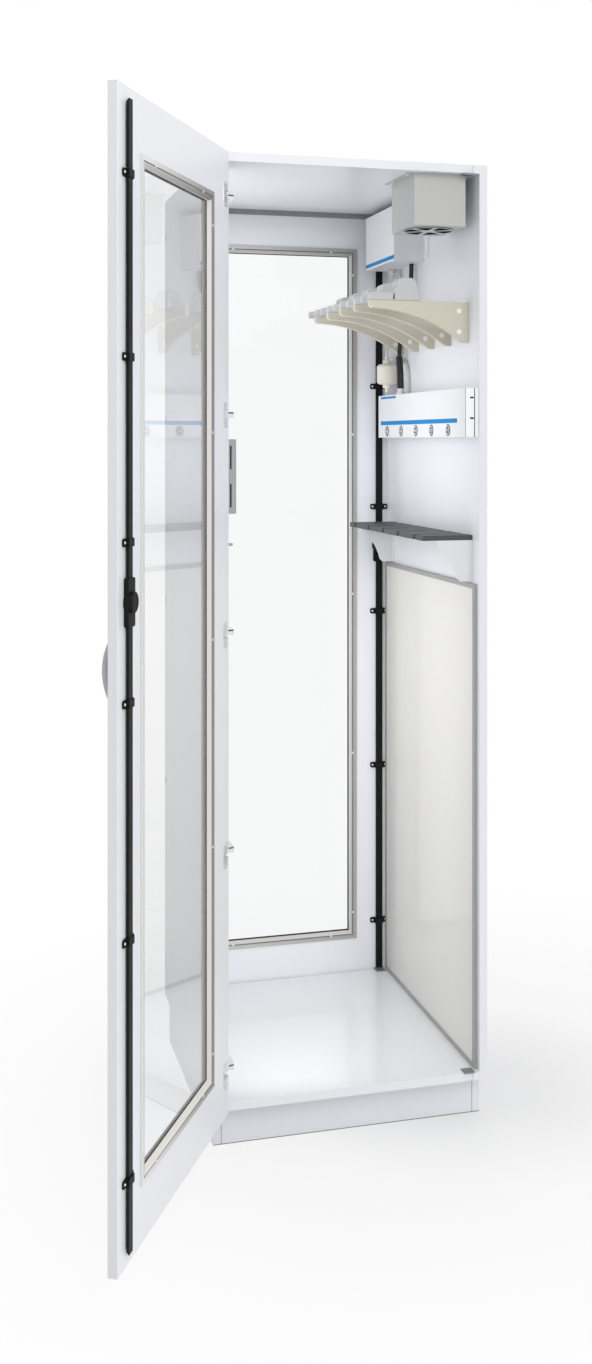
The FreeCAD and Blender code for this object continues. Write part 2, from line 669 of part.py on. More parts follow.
def build_knob():
    """The outside turn knob, its spindle through the door, and the pinion on it."""
    face = value(ROD_FACE)
    outline = gear_outline(value("pinion_radius"), int(value("pinion_teeth")))
    wheel = Part.Face(Part.makePolygon(outline + outline[:1]))
    pinion = DOC.addObject("Part::Feature", "pinion")
    pinion.Shape = wheel.extrude(Vector(0, -value("rod_thick"), 0))
    pinion.Placement = Placement(Vector(value(ROD_X), face, value("lock_level")), Rotation())
    spot = (ROD_X, "lock_level")
    spindle = cylinder("spindle", "spindle_radius", "rod_standoff + door_thick + 0.6",
                       (spot[0], ROD_FACE, spot[1]), ALONG_Y)
    journal = cylinder("journal", "journal_radius", "rod_thick + 2",
                       (spot[0], f"{ROD_FACE} - rod_thick - 2", spot[1]), ALONG_Y)
    disc = cylinder("knob_disc", "knob_radius", "4",
                    (spot[0], f"{DOOR_OUT} + 0.3", spot[1]), ALONG_Y)
    grip = box("knob_grip", ("9", "6.7", "2 * knob_radius - 3"),
               (f"{spot[0]} - 4.5", f"{DOOR_OUT} + 4.3", f"{spot[1]} - knob_radius + 1.5"))
    knob = fuse("knob_whole", [spindle, pinion, journal, disc, grip])
    return knob


def build_handle():
    """A bow handle standing off the outer face."""
    handle = new_body("bow", ROD_X, DOOR_OUT, "handle_level")
    half = "(handle_length / 2)"
    foot = "(handle_length / 2 - handle_thick * 2)"
    inner = "(handle_reach - handle_thick)"
    big = f"(({half} ^ 2 + handle_reach ^ 2) / (2 * handle_reach))"
    small = f"(({foot} ^ 2 + {inner} ^ 2) / (2 * {inner}))"
    outline = new_sketch(handle, "bow_outline", "YZ", [[
        ("0", f"-{half}", big, -1), ("0", half), ("0", foot, small, 1), ("0", f"-{foot}")]])
    pad(handle, "bow_solid", outline, "handle_width", both=True)
    face = value(DOOR_OUT)
    round_edges(handle, "bow_round", "2.5", lambda edge: edge.BoundBox.XLength < 1e-3
                and edge.BoundBox.YMax > face + 1)
    return handle


def build_doors():
    """Every piece of the rear door, and its mirrored twin on the open front door."""
    pane, gaskets = build_glass_and_gaskets()
    upper_reach = f"({DOOR_HEAD} - rod_end_gap - lock_level)"
    lower_reach = f"(lock_level - {DOOR_FOOT} - rod_end_gap)"
    pieces = {
        "door_panel": build_door_panel(),
        "window_glass": pane,
        "glass_gaskets": gaskets,
        "inner_trim": build_trim("trim_in", DOOR_IN, "(glass_depth - gasket_thick)",
                                 outward=False, grooved=True),
        "outer_trim": build_trim("trim_out", DOOR_OUT,
                                 "(door_thick - glass_depth - glass_thick - gasket_thick)",
                                 outward=True, grooved=False),
        "trim_caps": build_trim_caps(),
        "hinge_cups": build_hinge_cups(),
        "upper_rod": build_rod("rod_up", upper_reach, 1),
        "lower_rod": build_rod("rod_down", lower_reach, -1),
        "rod_guides": build_guides(),
        "lock_case": build_lock_case(),
        "turn_knob": build_knob(),
        "door_handle": build_handle(),
    }
    DOC.recompute()
    swing = Placement(Vector(), Rotation(Vector(0, 0, 1), -value("opening_angle")),
                      Vector(value(PIVOT_X), -value(PIVOT_Y), 0))
    for label, piece in pieces.items():
        node(f"rear_{label}", piece)
        twin = mirrored(f"open_{label}", piece)
        twin.Placement = swing
        node(f"front_{label}", twin)
    arms = build_hinge_arms()
    node("rear_hinge_arms", arms)
    node("front_hinge_arms", mirrored("front_arms", arms))


def build_strikes():
    """Angled strikes on floor and ceiling, slotted for the rod ends, at both doors."""
    strikes = []
    slot_wide = "(rod_width + 1.8)"
    across = f"({ROD_X} - strike_width / 2)"
    for side, base, lip in (
            ("floor", FLOOR, FLOOR),
            ("ceiling", f"({CEILING} - strike_sheet)", f"({CEILING} - lip_height)")):
        plate = box(f"strike_{side}", ("strike_width", "strike_length + lip_standoff",
                                       "strike_sheet"),
                    (across, f"{REAR} - strike_length", base))
        wall = box(f"strike_lip_{side}", ("strike_width", "lip_sheet", "lip_height"),
                   (across, f"{REAR} + lip_standoff - lip_sheet", lip))
        way = box(f"strike_way_{side}", (slot_wide, "lip_standoff - lip_sheet + 3.5", "20"),
                  (f"{ROD_X} - {slot_wide} / 2", f"{REAR} - 3.5", f"{base} - 10"))
        strikes.append(fuse(f"strike_whole_{side}",
                            [cut(f"strike_plate_{side}", plate, [way]), wall]))
    rear = group("rear_strikes", strikes)
    node("rod_strikes", group("strikes", [rear, mirrored("front_strikes", rear)]))


# ---------------------------------------------------------------- ceiling fan

FAN_X = "(fan_left + fan_wide / 2 - cabinet_width / 2)"
FAN_Y = "(fan_front + fan_deep / 2 - cabinet_depth / 2)"
FAN_FOOT = f"({CEILING} - fan_tall)"


def build_fan():
    """Sheet housing, round guard below it, and a fan frame and rotor inside."""
    housing = new_body("fan_box", FAN_X, FAN_Y, CEILING)
    half_x, half_y = "(fan_wide / 2)", "(fan_deep / 2)"
    outer = new_sketch(housing, "box_outline", "XY",
                       [rectangle(f"-{half_x}", f"-{half_y}", half_x, half_y)])
    pad(housing, "box_block", outer, "fan_tall", flip=True)
    wide = "(fan_wide / 2 + fan_flange)"
    flange = new_sketch(housing, "flange_outline", "XY",
                        [rectangle(f"-{wide}", f"-{half_y}", wide, half_y)])
    pad(housing, "flanges", flange, "fan_sheet", flip=True)
    inner = new_sketch(housing, "inner_outline", "XY", [rectangle(
        f"-({half_x} - fan_sheet)", f"-({half_y} - fan_sheet)",
        f"({half_x} - fan_sheet)", f"({half_y} - fan_sheet)")])
    pocket(housing, "inside", inner, "fan_tall - fan_sheet")
    mouth = new_sketch(housing, "mouth_circle", "XY", circles=[("0", "0", "guard_rim")])
    pocket(housing, "mouth", mouth, "fan_tall + 1")
    node("fan_housing", housing)

    guard = new_body("guard", FAN_X, FAN_Y, FAN_FOOT)
    disc = new_sketch(guard, "guard_circle", "XY", circles=[("0", "0", "guard_radius")])
    pad(guard, "disc", disc, "guard_thick", flip=True)
    sector = new_sketch(guard, "sector_outline", "XY", [sector_corners()])
    gap = pocket(guard, "sector", sector, "guard_thick")
    ring = guard.newObject("PartDesign::PolarPattern", "sectors")
    ring.Originals = [gap]
    ring.Axis = (sector, ["N_Axis"])
    ring.Angle = 360
    ring.Occurrences = SPOKE_COUNT
    guard.Tip = ring
    node("fan_guard", guard)

    build_fan_core()


def sector_corners():
    """One opening of the guard, between two spokes, the hub and the rim."""
    wedge = f"180 deg / {SPOKE_COUNT}"
    rim, hub = "guard_rim", "guard_hub"

    def spot(radius, side):
        lean = f"({side} * ({wedge} - asin(spoke_half / {radius})))"
        return f"({radius} * cos({lean}))", f"({radius} * sin({lean}))"

    return [(*spot(hub, -1),), (*spot(rim, -1), rim, -1), (*spot(rim, 1),),
            (*spot(hub, 1), hub, 1)]


def build_fan_core():
    """The square frame with its hub and struts, and the bladed rotor on its pin."""
    base = f"({FAN_FOOT} + fan_sheet)"
    half = "(fan_frame_side / 2)"
    shell = box("fan_square", ("fan_frame_side", "fan_frame_side", "fan_frame_tall"),
                (f"{FAN_X} - {half}", f"{FAN_Y} - {half}", base))
    bore = cylinder("fan_bore_tool", "fan_bore", "fan_frame_tall + 2",
                    (FAN_X, FAN_Y, f"{base} - 1"))
    roof = f"({base} + fan_frame_tall - 3)"
    struts = [box("strut_x", ("fan_frame_side - 4", "6", "3"),
                  (f"{FAN_X} - {half} + 2", f"{FAN_Y} - 3", roof)),
              box("strut_y", ("6", "fan_frame_side - 4", "3"),
                  (f"{FAN_X} - 3", f"{FAN_Y} - {half} + 2", roof)),
              cylinder("fan_hub", "rotor_hub", "3", (FAN_X, FAN_Y, roof)),
              cylinder("fan_pin", "pin_radius", "fan_frame_tall - 4",
                       (FAN_X, FAN_Y, f"{base} + 2"))]
    node("fan_frame", fuse("fan_frame_whole", [cut("fan_shell", shell, [bore])] + struts))

    start = f"({base} + 2.5)"
    hub = cylinder("rotor_hub_bar", "rotor_hub", "rotor_tall + 2", (FAN_X, FAN_Y, start))
    blades = []
    for index in range(BLADE_COUNT):
        blade = DOC.addObject("Part::Box", f"blade_{index}")
        bind(blade, Length="rotor_tip - rotor_hub + 2", Width="blade_chord",
             Height="blade_thick")
        turn = Rotation(Vector(0, 0, 1), index * 360 / BLADE_COUNT)
        lean = Rotation(Vector(1, 0, 0), value("blade_pitch_angle"))
        middle = Vector(0, value("blade_chord") / 2, value("blade_thick") / 2)
        reach = turn.multVec(Vector(value("rotor_hub") - 2, 0, 0))
        spin = turn.multiply(lean)
        centre = Vector(value(FAN_X), value(FAN_Y), value(f"{start} + rotor_tall / 2 + 1"))
        blade.Placement = Placement(centre + reach - spin.multVec(middle), spin)
        blades.append(blade)
    eye = cylinder("rotor_eye", "pin_radius + fit_gap", "40", (FAN_X, FAN_Y, base))
    node("fan_rotor", cut("rotor", fuse("rotor_whole", [hub] + blades), [eye]))


# ---------------------------------------------------------------- right wall

def shell(name, size, corner, sheet):
    """A closed sheet-metal box: a block with a sealed hollow inside."""
    outer = box(f"{name}_outer", size, corner)
    inner = box(f"{name}_inner", [f"{s} - 2 * {sheet}" for s in size],
                [f"{c} + {sheet}" for c in corner])
    return cut(name, outer, [inner])


def build_control_box():
    """The upper box by the rear with its side tab, and the gland under its floor."""
    corner = (f"({INNER_RIGHT} - control_wide)", f"({FRONT} + control_front)",
              "control_foot")
    case = shell("control_case", ("control_wide", "control_deep", "control_tall"),
                 corner, "control_sheet")
    tab = box("control_tab", ("tab_sheet", "tab_deep", "control_tall - 2 * tab_margin"),
              (f"({INNER_RIGHT} - tab_sheet)", f"({corner[1]} - tab_deep + 2)",
               "control_foot + tab_margin"))
    node("control_box", fuse("control_whole", [case, tab]))
    spot = (f"({INNER_RIGHT} - gland_inset)", f"({FRONT} + gland_at)")
    nut = cylinder("gland_nut", "nut_radius", "gland_part",
                   (*spot, "control_foot - gland_part"))
    nose = cylinder("gland_nose", "nose_radius", "gland_part",
                    (*spot, "control_foot - 2 * gland_part"))
    eye = cylinder("gland_eye", "gland_bore", "20", (*spot, "control_foot - 18"))
    node("cable_gland", cut("gland", fuse("gland_whole", [nut, nose]), [eye]))


def tube_solid(points, radius):
    """A round tube along straight runs joined by tangent arcs at the inner points."""
    runs = [b - a for a, b in zip(points, points[1:])]
    edges = []
    start = points[0]
    for index in range(1, len(points) - 1):
        before, after = runs[index - 1], runs[index]
        turn = before.getAngle(after)
        setback = 0.45 * min(before.Length, after.Length)
        corner = points[index]
        leave = corner - Vector(before).normalize() * setback
        arrive = corner + Vector(after).normalize() * setback
        bend = setback / math.tan(turn / 2)
        print(f"bend radius {bend:.0f} of a tube {2 * radius:.0f} wide")
        inward = Vector(after).normalize() - Vector(before).normalize()
        to_middle = bend / math.cos(turn / 2) - bend
        middle = corner + inward.normalize() * to_middle
        edges.append(Part.LineSegment(start, leave).toShape())
        edges.append(Part.Arc(leave, middle, arrive).toShape())
        start = arrive
    edges.append(Part.LineSegment(start, points[-1]).toShape())
    path = Part.Wire(edges)
    ring = Part.Wire(Part.makeCircle(radius, points[0], runs[0]))
    tube = path.makePipeShell([ring], True, False)
    share = tube.Volume / (math.pi * radius ** 2 * path.Length)
    print(f"tube of {path.Length:.0f}, volume share {share:.4f}")
    return tube


def carcass_point(x, y, z):
    """A point given from the left outer face, the front edge and the floor."""
    return Vector(x - value("cabinet_width") / 2, y - value("cabinet_depth") / 2, z)


def build_lines():
    """The black cable with its sleeve, and the clear air hoses round the filter."""
    top = value("control_foot")
    low = value("manifold_foot + manifold_tall")
    route = [(568, 402, top), (568, 402, 1882), (568, 420, 1845), (566, 444, 1795),
             (563, 466, 1745), (561, 475, 1695), (561, 463, 1645), (561, 463, low)]
    cable = tube_solid([carcass_point(*p) for p in route], 5.5)
    boot = [(561, 463, low + 15), (561, 463, 1645), (561, 474, 1690)]
    sleeve = tube_solid([carcass_point(*p) for p in boot], 8.2)
    line = DOC.addObject("Part::Feature", "cable")
    line.Shape = cable.fuse(sleeve).removeSplitter()
    node("control_cable", line)

    filter_x = value("cabinet_width - board - filter_radius")
    filter_y = value("filter_at")
    neck = value("filter_foot + filter_tall + neck_tall + nipple_tall")
    drop = value("filter_foot - neck_tall - nipple_tall")
    gland = (value("cabinet_width - board - gland_inset"), value("gland_at"))
    supply = [(*gland, top - value("2 * gland_part")), (*gland, 1868), (filter_x + 2, 530, 1820),
              (filter_x, 545, 1765), (filter_x, filter_y, 1725), (filter_x, filter_y, neck)]
    feed = (filter_x, filter_y, low)
    branch = [(574, 447, low), (574, 447, 1636), (574.5, 452, 1660), (575.5, 467, 1677),
              (576, 489, 1682), (576, 511, 1688), (576, 526, 1706), (576, 530, 1731),
              (576, 525, 1775), (576, 517, 1825), (576, 516, 1872), (576, 516, top)]
    parts = [tube_solid([carcass_point(*p) for p in supply], 4)]
    parts.append(Part.makeCylinder(4, drop - low, carcass_point(*feed)))
    parts.append(tube_solid([carcass_point(*p) for p in branch], 4.5))
    hoses = DOC.addObject("Part::Feature", "hoses")
    hoses.Shape = Part.makeCompound(parts)
    node("air_hoses", hoses)


def build_manifold():
    """The long air box with its ports and end bracket, and the filter above it."""
    corner = (f"({INNER_RIGHT} - manifold_wide)", f"({FRONT} + manifold_front)",
              "manifold_foot")
    node("manifold_box", shell("manifold_case", (
        "manifold_wide", "manifold_deep", "manifold_tall"), corner, "control_sheet"))

    ports = []
    for index in range(PORT_COUNT):
        y = f"({FRONT} + port_first + {index} * port_pitch)"
        start = f"({corner[0]} - port_proud)"
        collar = cylinder(f"port_{index}", "port_radius", "port_proud",
                          (start, y, "port_level"), ALONG_X)
        well = cylinder(f"port_well_{index}", "port_radius - 2", "port_proud - 0.5",
                        (start, y, "port_level"), ALONG_X)
        spout = cylinder(f"port_spout_{index}", "3.5", "port_proud + 3",
                         (f"{start} - 3", y, "port_level"), ALONG_X)
        eye = cylinder(f"port_eye_{index}", "2", "4", (f"{start} - 3", y, "port_level"),
                       ALONG_X)
        ports.append(cut(f"port_done_{index}", fuse(
            f"port_body_{index}", [cut(f"port_cup_{index}", collar, [well]), spout]), [eye]))
    node("manifold_ports", group("ports", ports))

    end = new_body("end_plate", corner[0], f"{FRONT} + manifold_front - 4",
                   "manifold_foot")
    face = new_sketch(end, "end_section", "XY", [[
        ("0", "0"), ("21", "0"), ("21", "2"), ("manifold_wide", "2"), ("manifold_wide", "4"),
        ("0", "4")]])
    pad(end, "end_solid", face, "manifold_tall")
    half = "(manifold_wide / 2 - 4.5)"
    slots = new_sketch(end, "slot_outlines", "XZ", [
        rectangle(half, f"({z})", f"({half} + 9)", f"({z} + 4)") for z in (39, 84)],
        lift="1")
    pocket(end, "slots", slots, "6")
    node("manifold_end_bracket", end)

    lathe = new_body("filter", f"({INNER_RIGHT} - filter_radius)",
                     f"({FRONT} + filter_at)", "filter_foot")
    tip = "(-neck_tall - nipple_tall)"
    crown = "(filter_tall + neck_tall)"
    half_section = [("0", tip), ("nipple_radius", tip), ("nipple_radius", "-neck_tall"),
                    ("neck_radius", "-neck_tall"), ("neck_radius", "-2"),
                    ("filter_radius - 5", "0"), ("filter_radius", "5"),
                    ("filter_radius", "filter_tall - 5"), ("filter_radius - 5", "filter_tall"),
                    ("neck_radius", "filter_tall + 2"), ("neck_radius", crown),
                    ("nipple_radius", crown), ("nipple_radius", f"({crown} + nipple_tall)"),
                    ("0", f"({crown} + nipple_tall)")]
    section = new_sketch(lathe, "filter_section", "XZ", [half_section])
    turned = lathe.newObject("PartDesign::Revolution", "turned")
    turned.Profile = section
    turned.ReferenceAxis = (section, ["V_Axis"])
    turned.Angle = 360
    node("air_filter", lathe)


def hanger_y(index):
    """The front face of one hanger plate, counted from the front."""
    return f"({FRONT} + hanger_first + {index} * hanger_pitch)"


def build_hangers():
    """Beige plates on the right wall with curved undersides, each with a grey cradle."""
    tip_x = f"({INNER_RIGHT} - hanger_reach)"
    cradles = []
    for index in range(HANGER_COUNT):
        plate = new_body(f"plate_{index}", tip_x, hanger_y(index), "hanger_top")
        outline = new_sketch(plate, "plate_outline", "XZ", [[
            ("0", "0"), ("0", "-hanger_tip + 5"), ("5", "-hanger_tip", "360", 1),
            ("hanger_reach - hanger_flat", "-hanger_wall"), ("hanger_reach", "-hanger_wall"),
            ("hanger_reach", "0")]])
        pad(plate, "plate", outline, "hanger_thick", flip=True)
        node(f"scope_hanger_{index + 1}", plate)

        cradle = new_body(f"cradle_{index}", tip_x, hanger_y(index), "hanger_top")
        prong = [("0", "0"), ("0", "prong_tall - prong_round", "prong_round", 1),
                 ("prong_round", "prong_tall"), ("prong_length", "prong_tall"),
                 ("prong_length", "0")]
        first = new_sketch(cradle, "front_prong_outline", "XZ", [prong])
        pad(cradle, "front_prong", first, "prong_thick", flip=True)
        base = new_sketch(cradle, "base_outline", "XZ", [rectangle(
            "prong_length - 8", "0", "cradle_length", "cradle_base")])
        pad(cradle, "base", base, "prong_pitch + prong_thick", flip=True)
        second = new_sketch(cradle, "rear_prong_outline", "XZ", [prong],
                            lift="-prong_pitch")
        pad(cradle, "rear_prong", second, "prong_thick", flip=True)
        hump = new_sketch(cradle, "hump_outline", "XZ", [[
            ("prong_length - 2", "0"), ("prong_length - 0.5", "16", "50", 1),
            ("prong_length + 10", "hump_top - 8", "20.5", 1),
            ("prong_length + 26", "hump_top"),
            ("cradle_length - 24", "hump_top", "15.5", 1),
            ("cradle_length - 9", "hump_top - 11.5"), ("cradle_length", "0")]])
        pad(cradle, "hump", hump, "hump_deep", flip=True)
        cradles.append(cradle)
    node("hanger_cradles", group("cradles", cradles))


def build_rail():
    """The dark holder rail with its slots, on two sheet gussets."""
    rail = new_body("rail", INNER_RIGHT, f"({FRONT} + rail_front)", "rail_foot")
    blank = new_sketch(rail, "rail_outline", "XY",
                       [rectangle("-rail_reach", "0", "0", "rail_deep")])
    pad(rail, "rail_solid", blank, "rail_thick")
    at = "(slot_first - rail_front)"
    half = "(slot_width / 2)"
    slot = new_sketch(rail, "slot_outline", "XY", [[
        ("-rail_reach - 1", f"{at} - {half}"),
        ("-rail_reach + slot_length", f"{at} - {half}", f"{half} + 0.5", -1),
        ("-rail_reach + slot_length", f"{at} + {half}"),
        ("-rail_reach - 1", f"{at} + {half}")]])
    slotted = pocket(rail, "slot", slot, "rail_thick", flip=True)
    step = new_sketch(rail, "step_outline", "XY", [[
        ("1", f"{at} - 26"), ("1", f"{at} + 8"), ("-9", f"{at} + 8")]])
    stepped = pocket(rail, "step", step, "rail_thick", flip=True)
    repeat(rail, "slot_row", [slotted, stepped], slot, "V_Axis", "slot_pitch", SLOT_COUNT)
    node("notched_rail", rail)

    gussets = []
    for index, (y, turned) in enumerate((("rail_front", True),
                                         ("rail_front + rail_deep - gusset_sheet", False))):
        gusset = new_body(f"gusset_{index}", INNER_RIGHT, f"({FRONT} + {y})", "rail_foot")
        web = new_sketch(gusset, "web_outline", "XZ", [[
            ("0", "0"), ("-84", "0"), ("-84", "-8", "150", 1), ("-39", "-74", "20", -1),
            ("-28", "-gusset_tall"), ("0", "-gusset_tall")]])
        pad(gusset, "web", web, "gusset_sheet", flip=True)
        near, far = ("0", "gusset_flange") if turned else ("gusset_sheet - gusset_flange",
                                                           "gusset_sheet")
        flange = new_sketch(gusset, "flange_outline", "XY",
                            [rectangle("-gusset_sheet", near, "0", far)])
        pad(gusset, "flange", flange, "gusset_tall", flip=True)
        gussets.append(gusset)
    node("rail_gussets", group("gussets", gussets))


def build_drip_panel():
    """The thin cream panel on the lower right wall, held in an edging."""
    lap = "(edging_width - 6)"
    tall = f"(drip_top - {FLOOR})"
    board = box("drip_board", ("drip_thick", f"drip_deep - 2 * 6", f"{tall} - 2 * 6"),
                (f"{INNER_RIGHT} - drip_thick", f"{FRONT} + drip_front + 6", f"{FLOOR} + 6"))
    node("drip_panel", board)
    thick = "(drip_thick + edging_proud)"
    rim = box("edging_block", (thick, "drip_deep", tall),
              (f"{INNER_RIGHT} - {thick}", f"{FRONT} + drip_front", FLOOR))
    sight = box("edging_sight", (thick + " + 2", "drip_deep - 2 * edging_width",
                                 f"{tall} - 2 * edging_width"),
                (f"{INNER_RIGHT} - {thick} - 1", f"{FRONT} + drip_front + edging_width",
                 f"{FLOOR} + edging_width"))
    rebate = box("edging_rebate", ("drip_thick", f"drip_deep - 2 * 6", f"{tall} - 2 * 6"),
                 (f"{INNER_RIGHT} - drip_thick", f"{FRONT} + drip_front + 6", f"{FLOOR} + 6"))
    node("drip_panel_edging", cut("edging", rim, [sight, rebate]))


def build_left_wall():
    """The slotted bracket on the left wall, with a peg under it."""
    bracket = new_body("slotted", INNER_LEFT, f"({FRONT} + bracket_at)", "bracket_foot")
    web = new_sketch(bracket, "web_outline", "XZ", [
        rectangle("0", "0", "bracket_reach", "bracket_tall"),
        rectangle("slit_at", "14", "slit_at + 4", "64"),
        rectangle("slit_at", "96", "slit_at + 4", "146")])
    pad(bracket, "web", web, "2")
    foot = new_sketch(bracket, "foot_outline", "XY", [rectangle("0", "-2", "2", "18")])
    pad(bracket, "foot", foot, "bracket_tall")
    peg = cylinder("peg", "peg_radius", "bracket_reach - 8",
                   (INNER_LEFT, f"{FRONT} + bracket_at", "peg_level"), ALONG_X)
    rose = cylinder("peg_rose", "8", "2", (INNER_LEFT, f"{FRONT} + bracket_at", "peg_level"),
                    ALONG_X)
    node("slotted_bracket", group("bracket_and_peg",
                                  [bracket, fuse("peg_whole", [peg, rose])]))


def build_screw_caps():
    """Round caps on the hanger plates and under the fan housing's flanges."""
    caps = []
    for index in range(HANGER_COUNT):
        for level in (20, 66):
            caps.append(cylinder(f"plate_cap_{index}_{level}", "plate_cap_radius",
                                 "plate_cap_thick",
                                 (f"{INNER_RIGHT} - plate_cap_inset",
                                  f"{hanger_y(index)} - plate_cap_thick",
                                  f"hanger_top - {level}"), ALONG_Y))
    for side in (-1, 1):
        for end in (-1, 1):
            caps.append(cylinder(
                f"flange_cap_{side + 1}_{end + 1}", "flange_cap_radius", "flange_cap_thick",
                (f"{FAN_X} + {side} * (fan_wide / 2 + fan_flange / 2)",
                 f"{FAN_Y} + {end} * (fan_deep / 2 - 20)",
                 f"{CEILING} - fan_sheet - flange_cap_thick")))
    node("screw_caps", group("caps", caps))


# ---------------------------------------------------------------- build, check and write

def check_document():
    """Stop if any object failed or any finished piece is empty or invalid."""
    DOC.recompute()
    for item in DOC.Objects:
        if {"Invalid", "Error"} & set(item.State):
            raise ValueError(f"{item.Name} failed: {item.State}")
    for piece in NODES:
        if piece.Shape.isNull() or not piece.Shape.isValid():
            raise ValueError(f"{piece.Label} has no valid shape")


def write_steps():
    """Write each piece to its own STEP file, named as the piece is."""
    os.makedirs("parts", exist_ok=True)
    for piece in NODES:
        piece.Shape.exportStep(f"parts/{piece.Label}.step")
        print(f"{piece.Label}: {len(piece.Shape.Solids)} solid(s)")


build_carcass()
build_doors()
build_strikes()
build_fan()
build_control_box()
build_lines()
build_manifold()
build_hangers()
build_rail()
build_drip_panel()
build_left_wall()
build_screw_caps()
check_document()
write_steps()
print(f"{len(NODES)} pieces")
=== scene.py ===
"""Finishes, small fittings, hoses and studio of a tall drying cabinet with two glazed doors.

Lengths are in metres and angles in radians, +Z up, with the open front door towards -Y.
"""

import logging
import math
from dataclasses import dataclass, field
from enum import Enum
from typing import Callable, Iterable, Optional, Sequence, Union

import bpy
import numpy as np
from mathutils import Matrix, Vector


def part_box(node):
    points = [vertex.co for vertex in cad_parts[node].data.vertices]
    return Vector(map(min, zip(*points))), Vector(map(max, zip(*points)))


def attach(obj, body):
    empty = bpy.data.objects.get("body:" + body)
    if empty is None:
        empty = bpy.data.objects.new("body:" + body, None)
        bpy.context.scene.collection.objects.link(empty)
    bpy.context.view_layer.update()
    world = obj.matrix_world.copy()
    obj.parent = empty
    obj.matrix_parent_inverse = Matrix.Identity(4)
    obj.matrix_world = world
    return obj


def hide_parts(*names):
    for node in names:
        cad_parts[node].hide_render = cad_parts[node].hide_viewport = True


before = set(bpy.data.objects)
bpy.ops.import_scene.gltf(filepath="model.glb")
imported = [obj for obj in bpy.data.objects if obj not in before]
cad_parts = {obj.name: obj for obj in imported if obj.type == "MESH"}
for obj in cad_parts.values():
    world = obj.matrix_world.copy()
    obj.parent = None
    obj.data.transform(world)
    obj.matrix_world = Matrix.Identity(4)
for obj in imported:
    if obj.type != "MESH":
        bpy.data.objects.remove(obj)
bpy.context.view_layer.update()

LOG = logging.getLogger("drying_cabinet")
Pair = tuple[float, float]
Spot = tuple[float, float, float]
Colour = Spot
Value = Union[float, int, Sequence[float], "Tap"]
WHITE = (1.0, 1.0, 1.0, 1.0)


# ---- shader arithmetic


@dataclass(frozen=True)
class Tap:
    """One output of a shader node, whose arithmetic adds Math nodes to the same sheet."""

    sheet: "ShaderSheet"
    socket: bpy.types.NodeSocket

    def _math(self, operation: str, first: Value, second: Value) -> "Tap":
        """Add one Math node of that operation."""
        return self.sheet.node("ShaderNodeMath", {"operation": operation}, {0: first, 1: second})

    def __add__(self, other: Value) -> "Tap":
        """Sum of this and another value."""
        return self._math("ADD", self, other)

    def __sub__(self, other: Value) -> "Tap":
        """This less another value."""
        return self._math("SUBTRACT", self, other)

    def __rsub__(self, other: Value) -> "Tap":
        """Another value less this one."""
        return self._math("SUBTRACT", other, self)

    def __mul__(self, other: Value) -> "Tap":
        """Product of this and another value."""
        return self._math("MULTIPLY", self, other)

    __radd__ = __add__
    __rmul__ = __mul__

    def over(self, level: Value) -> "Tap":
        """One where this value passes a level, else nought."""
        return self._math("GREATER_THAN", self, level)

    def under(self, level: Value) -> "Tap":
        """One where this value is below a level, else nought."""
        return self._math("LESS_THAN", self, level)

    def at_least(self, floor: float) -> "Tap":
        """This value, or the floor where it is lower."""
        return self._math("MAXIMUM", self, floor)

    def lesser(self, other: Value) -> "Tap":
        """The lower of this and another value."""
        return self._math("MINIMUM", self, other)

    def __abs__(self) -> "Tap":
        """This value without its sign."""
        return self._math("ABSOLUTE", self, 0.0)


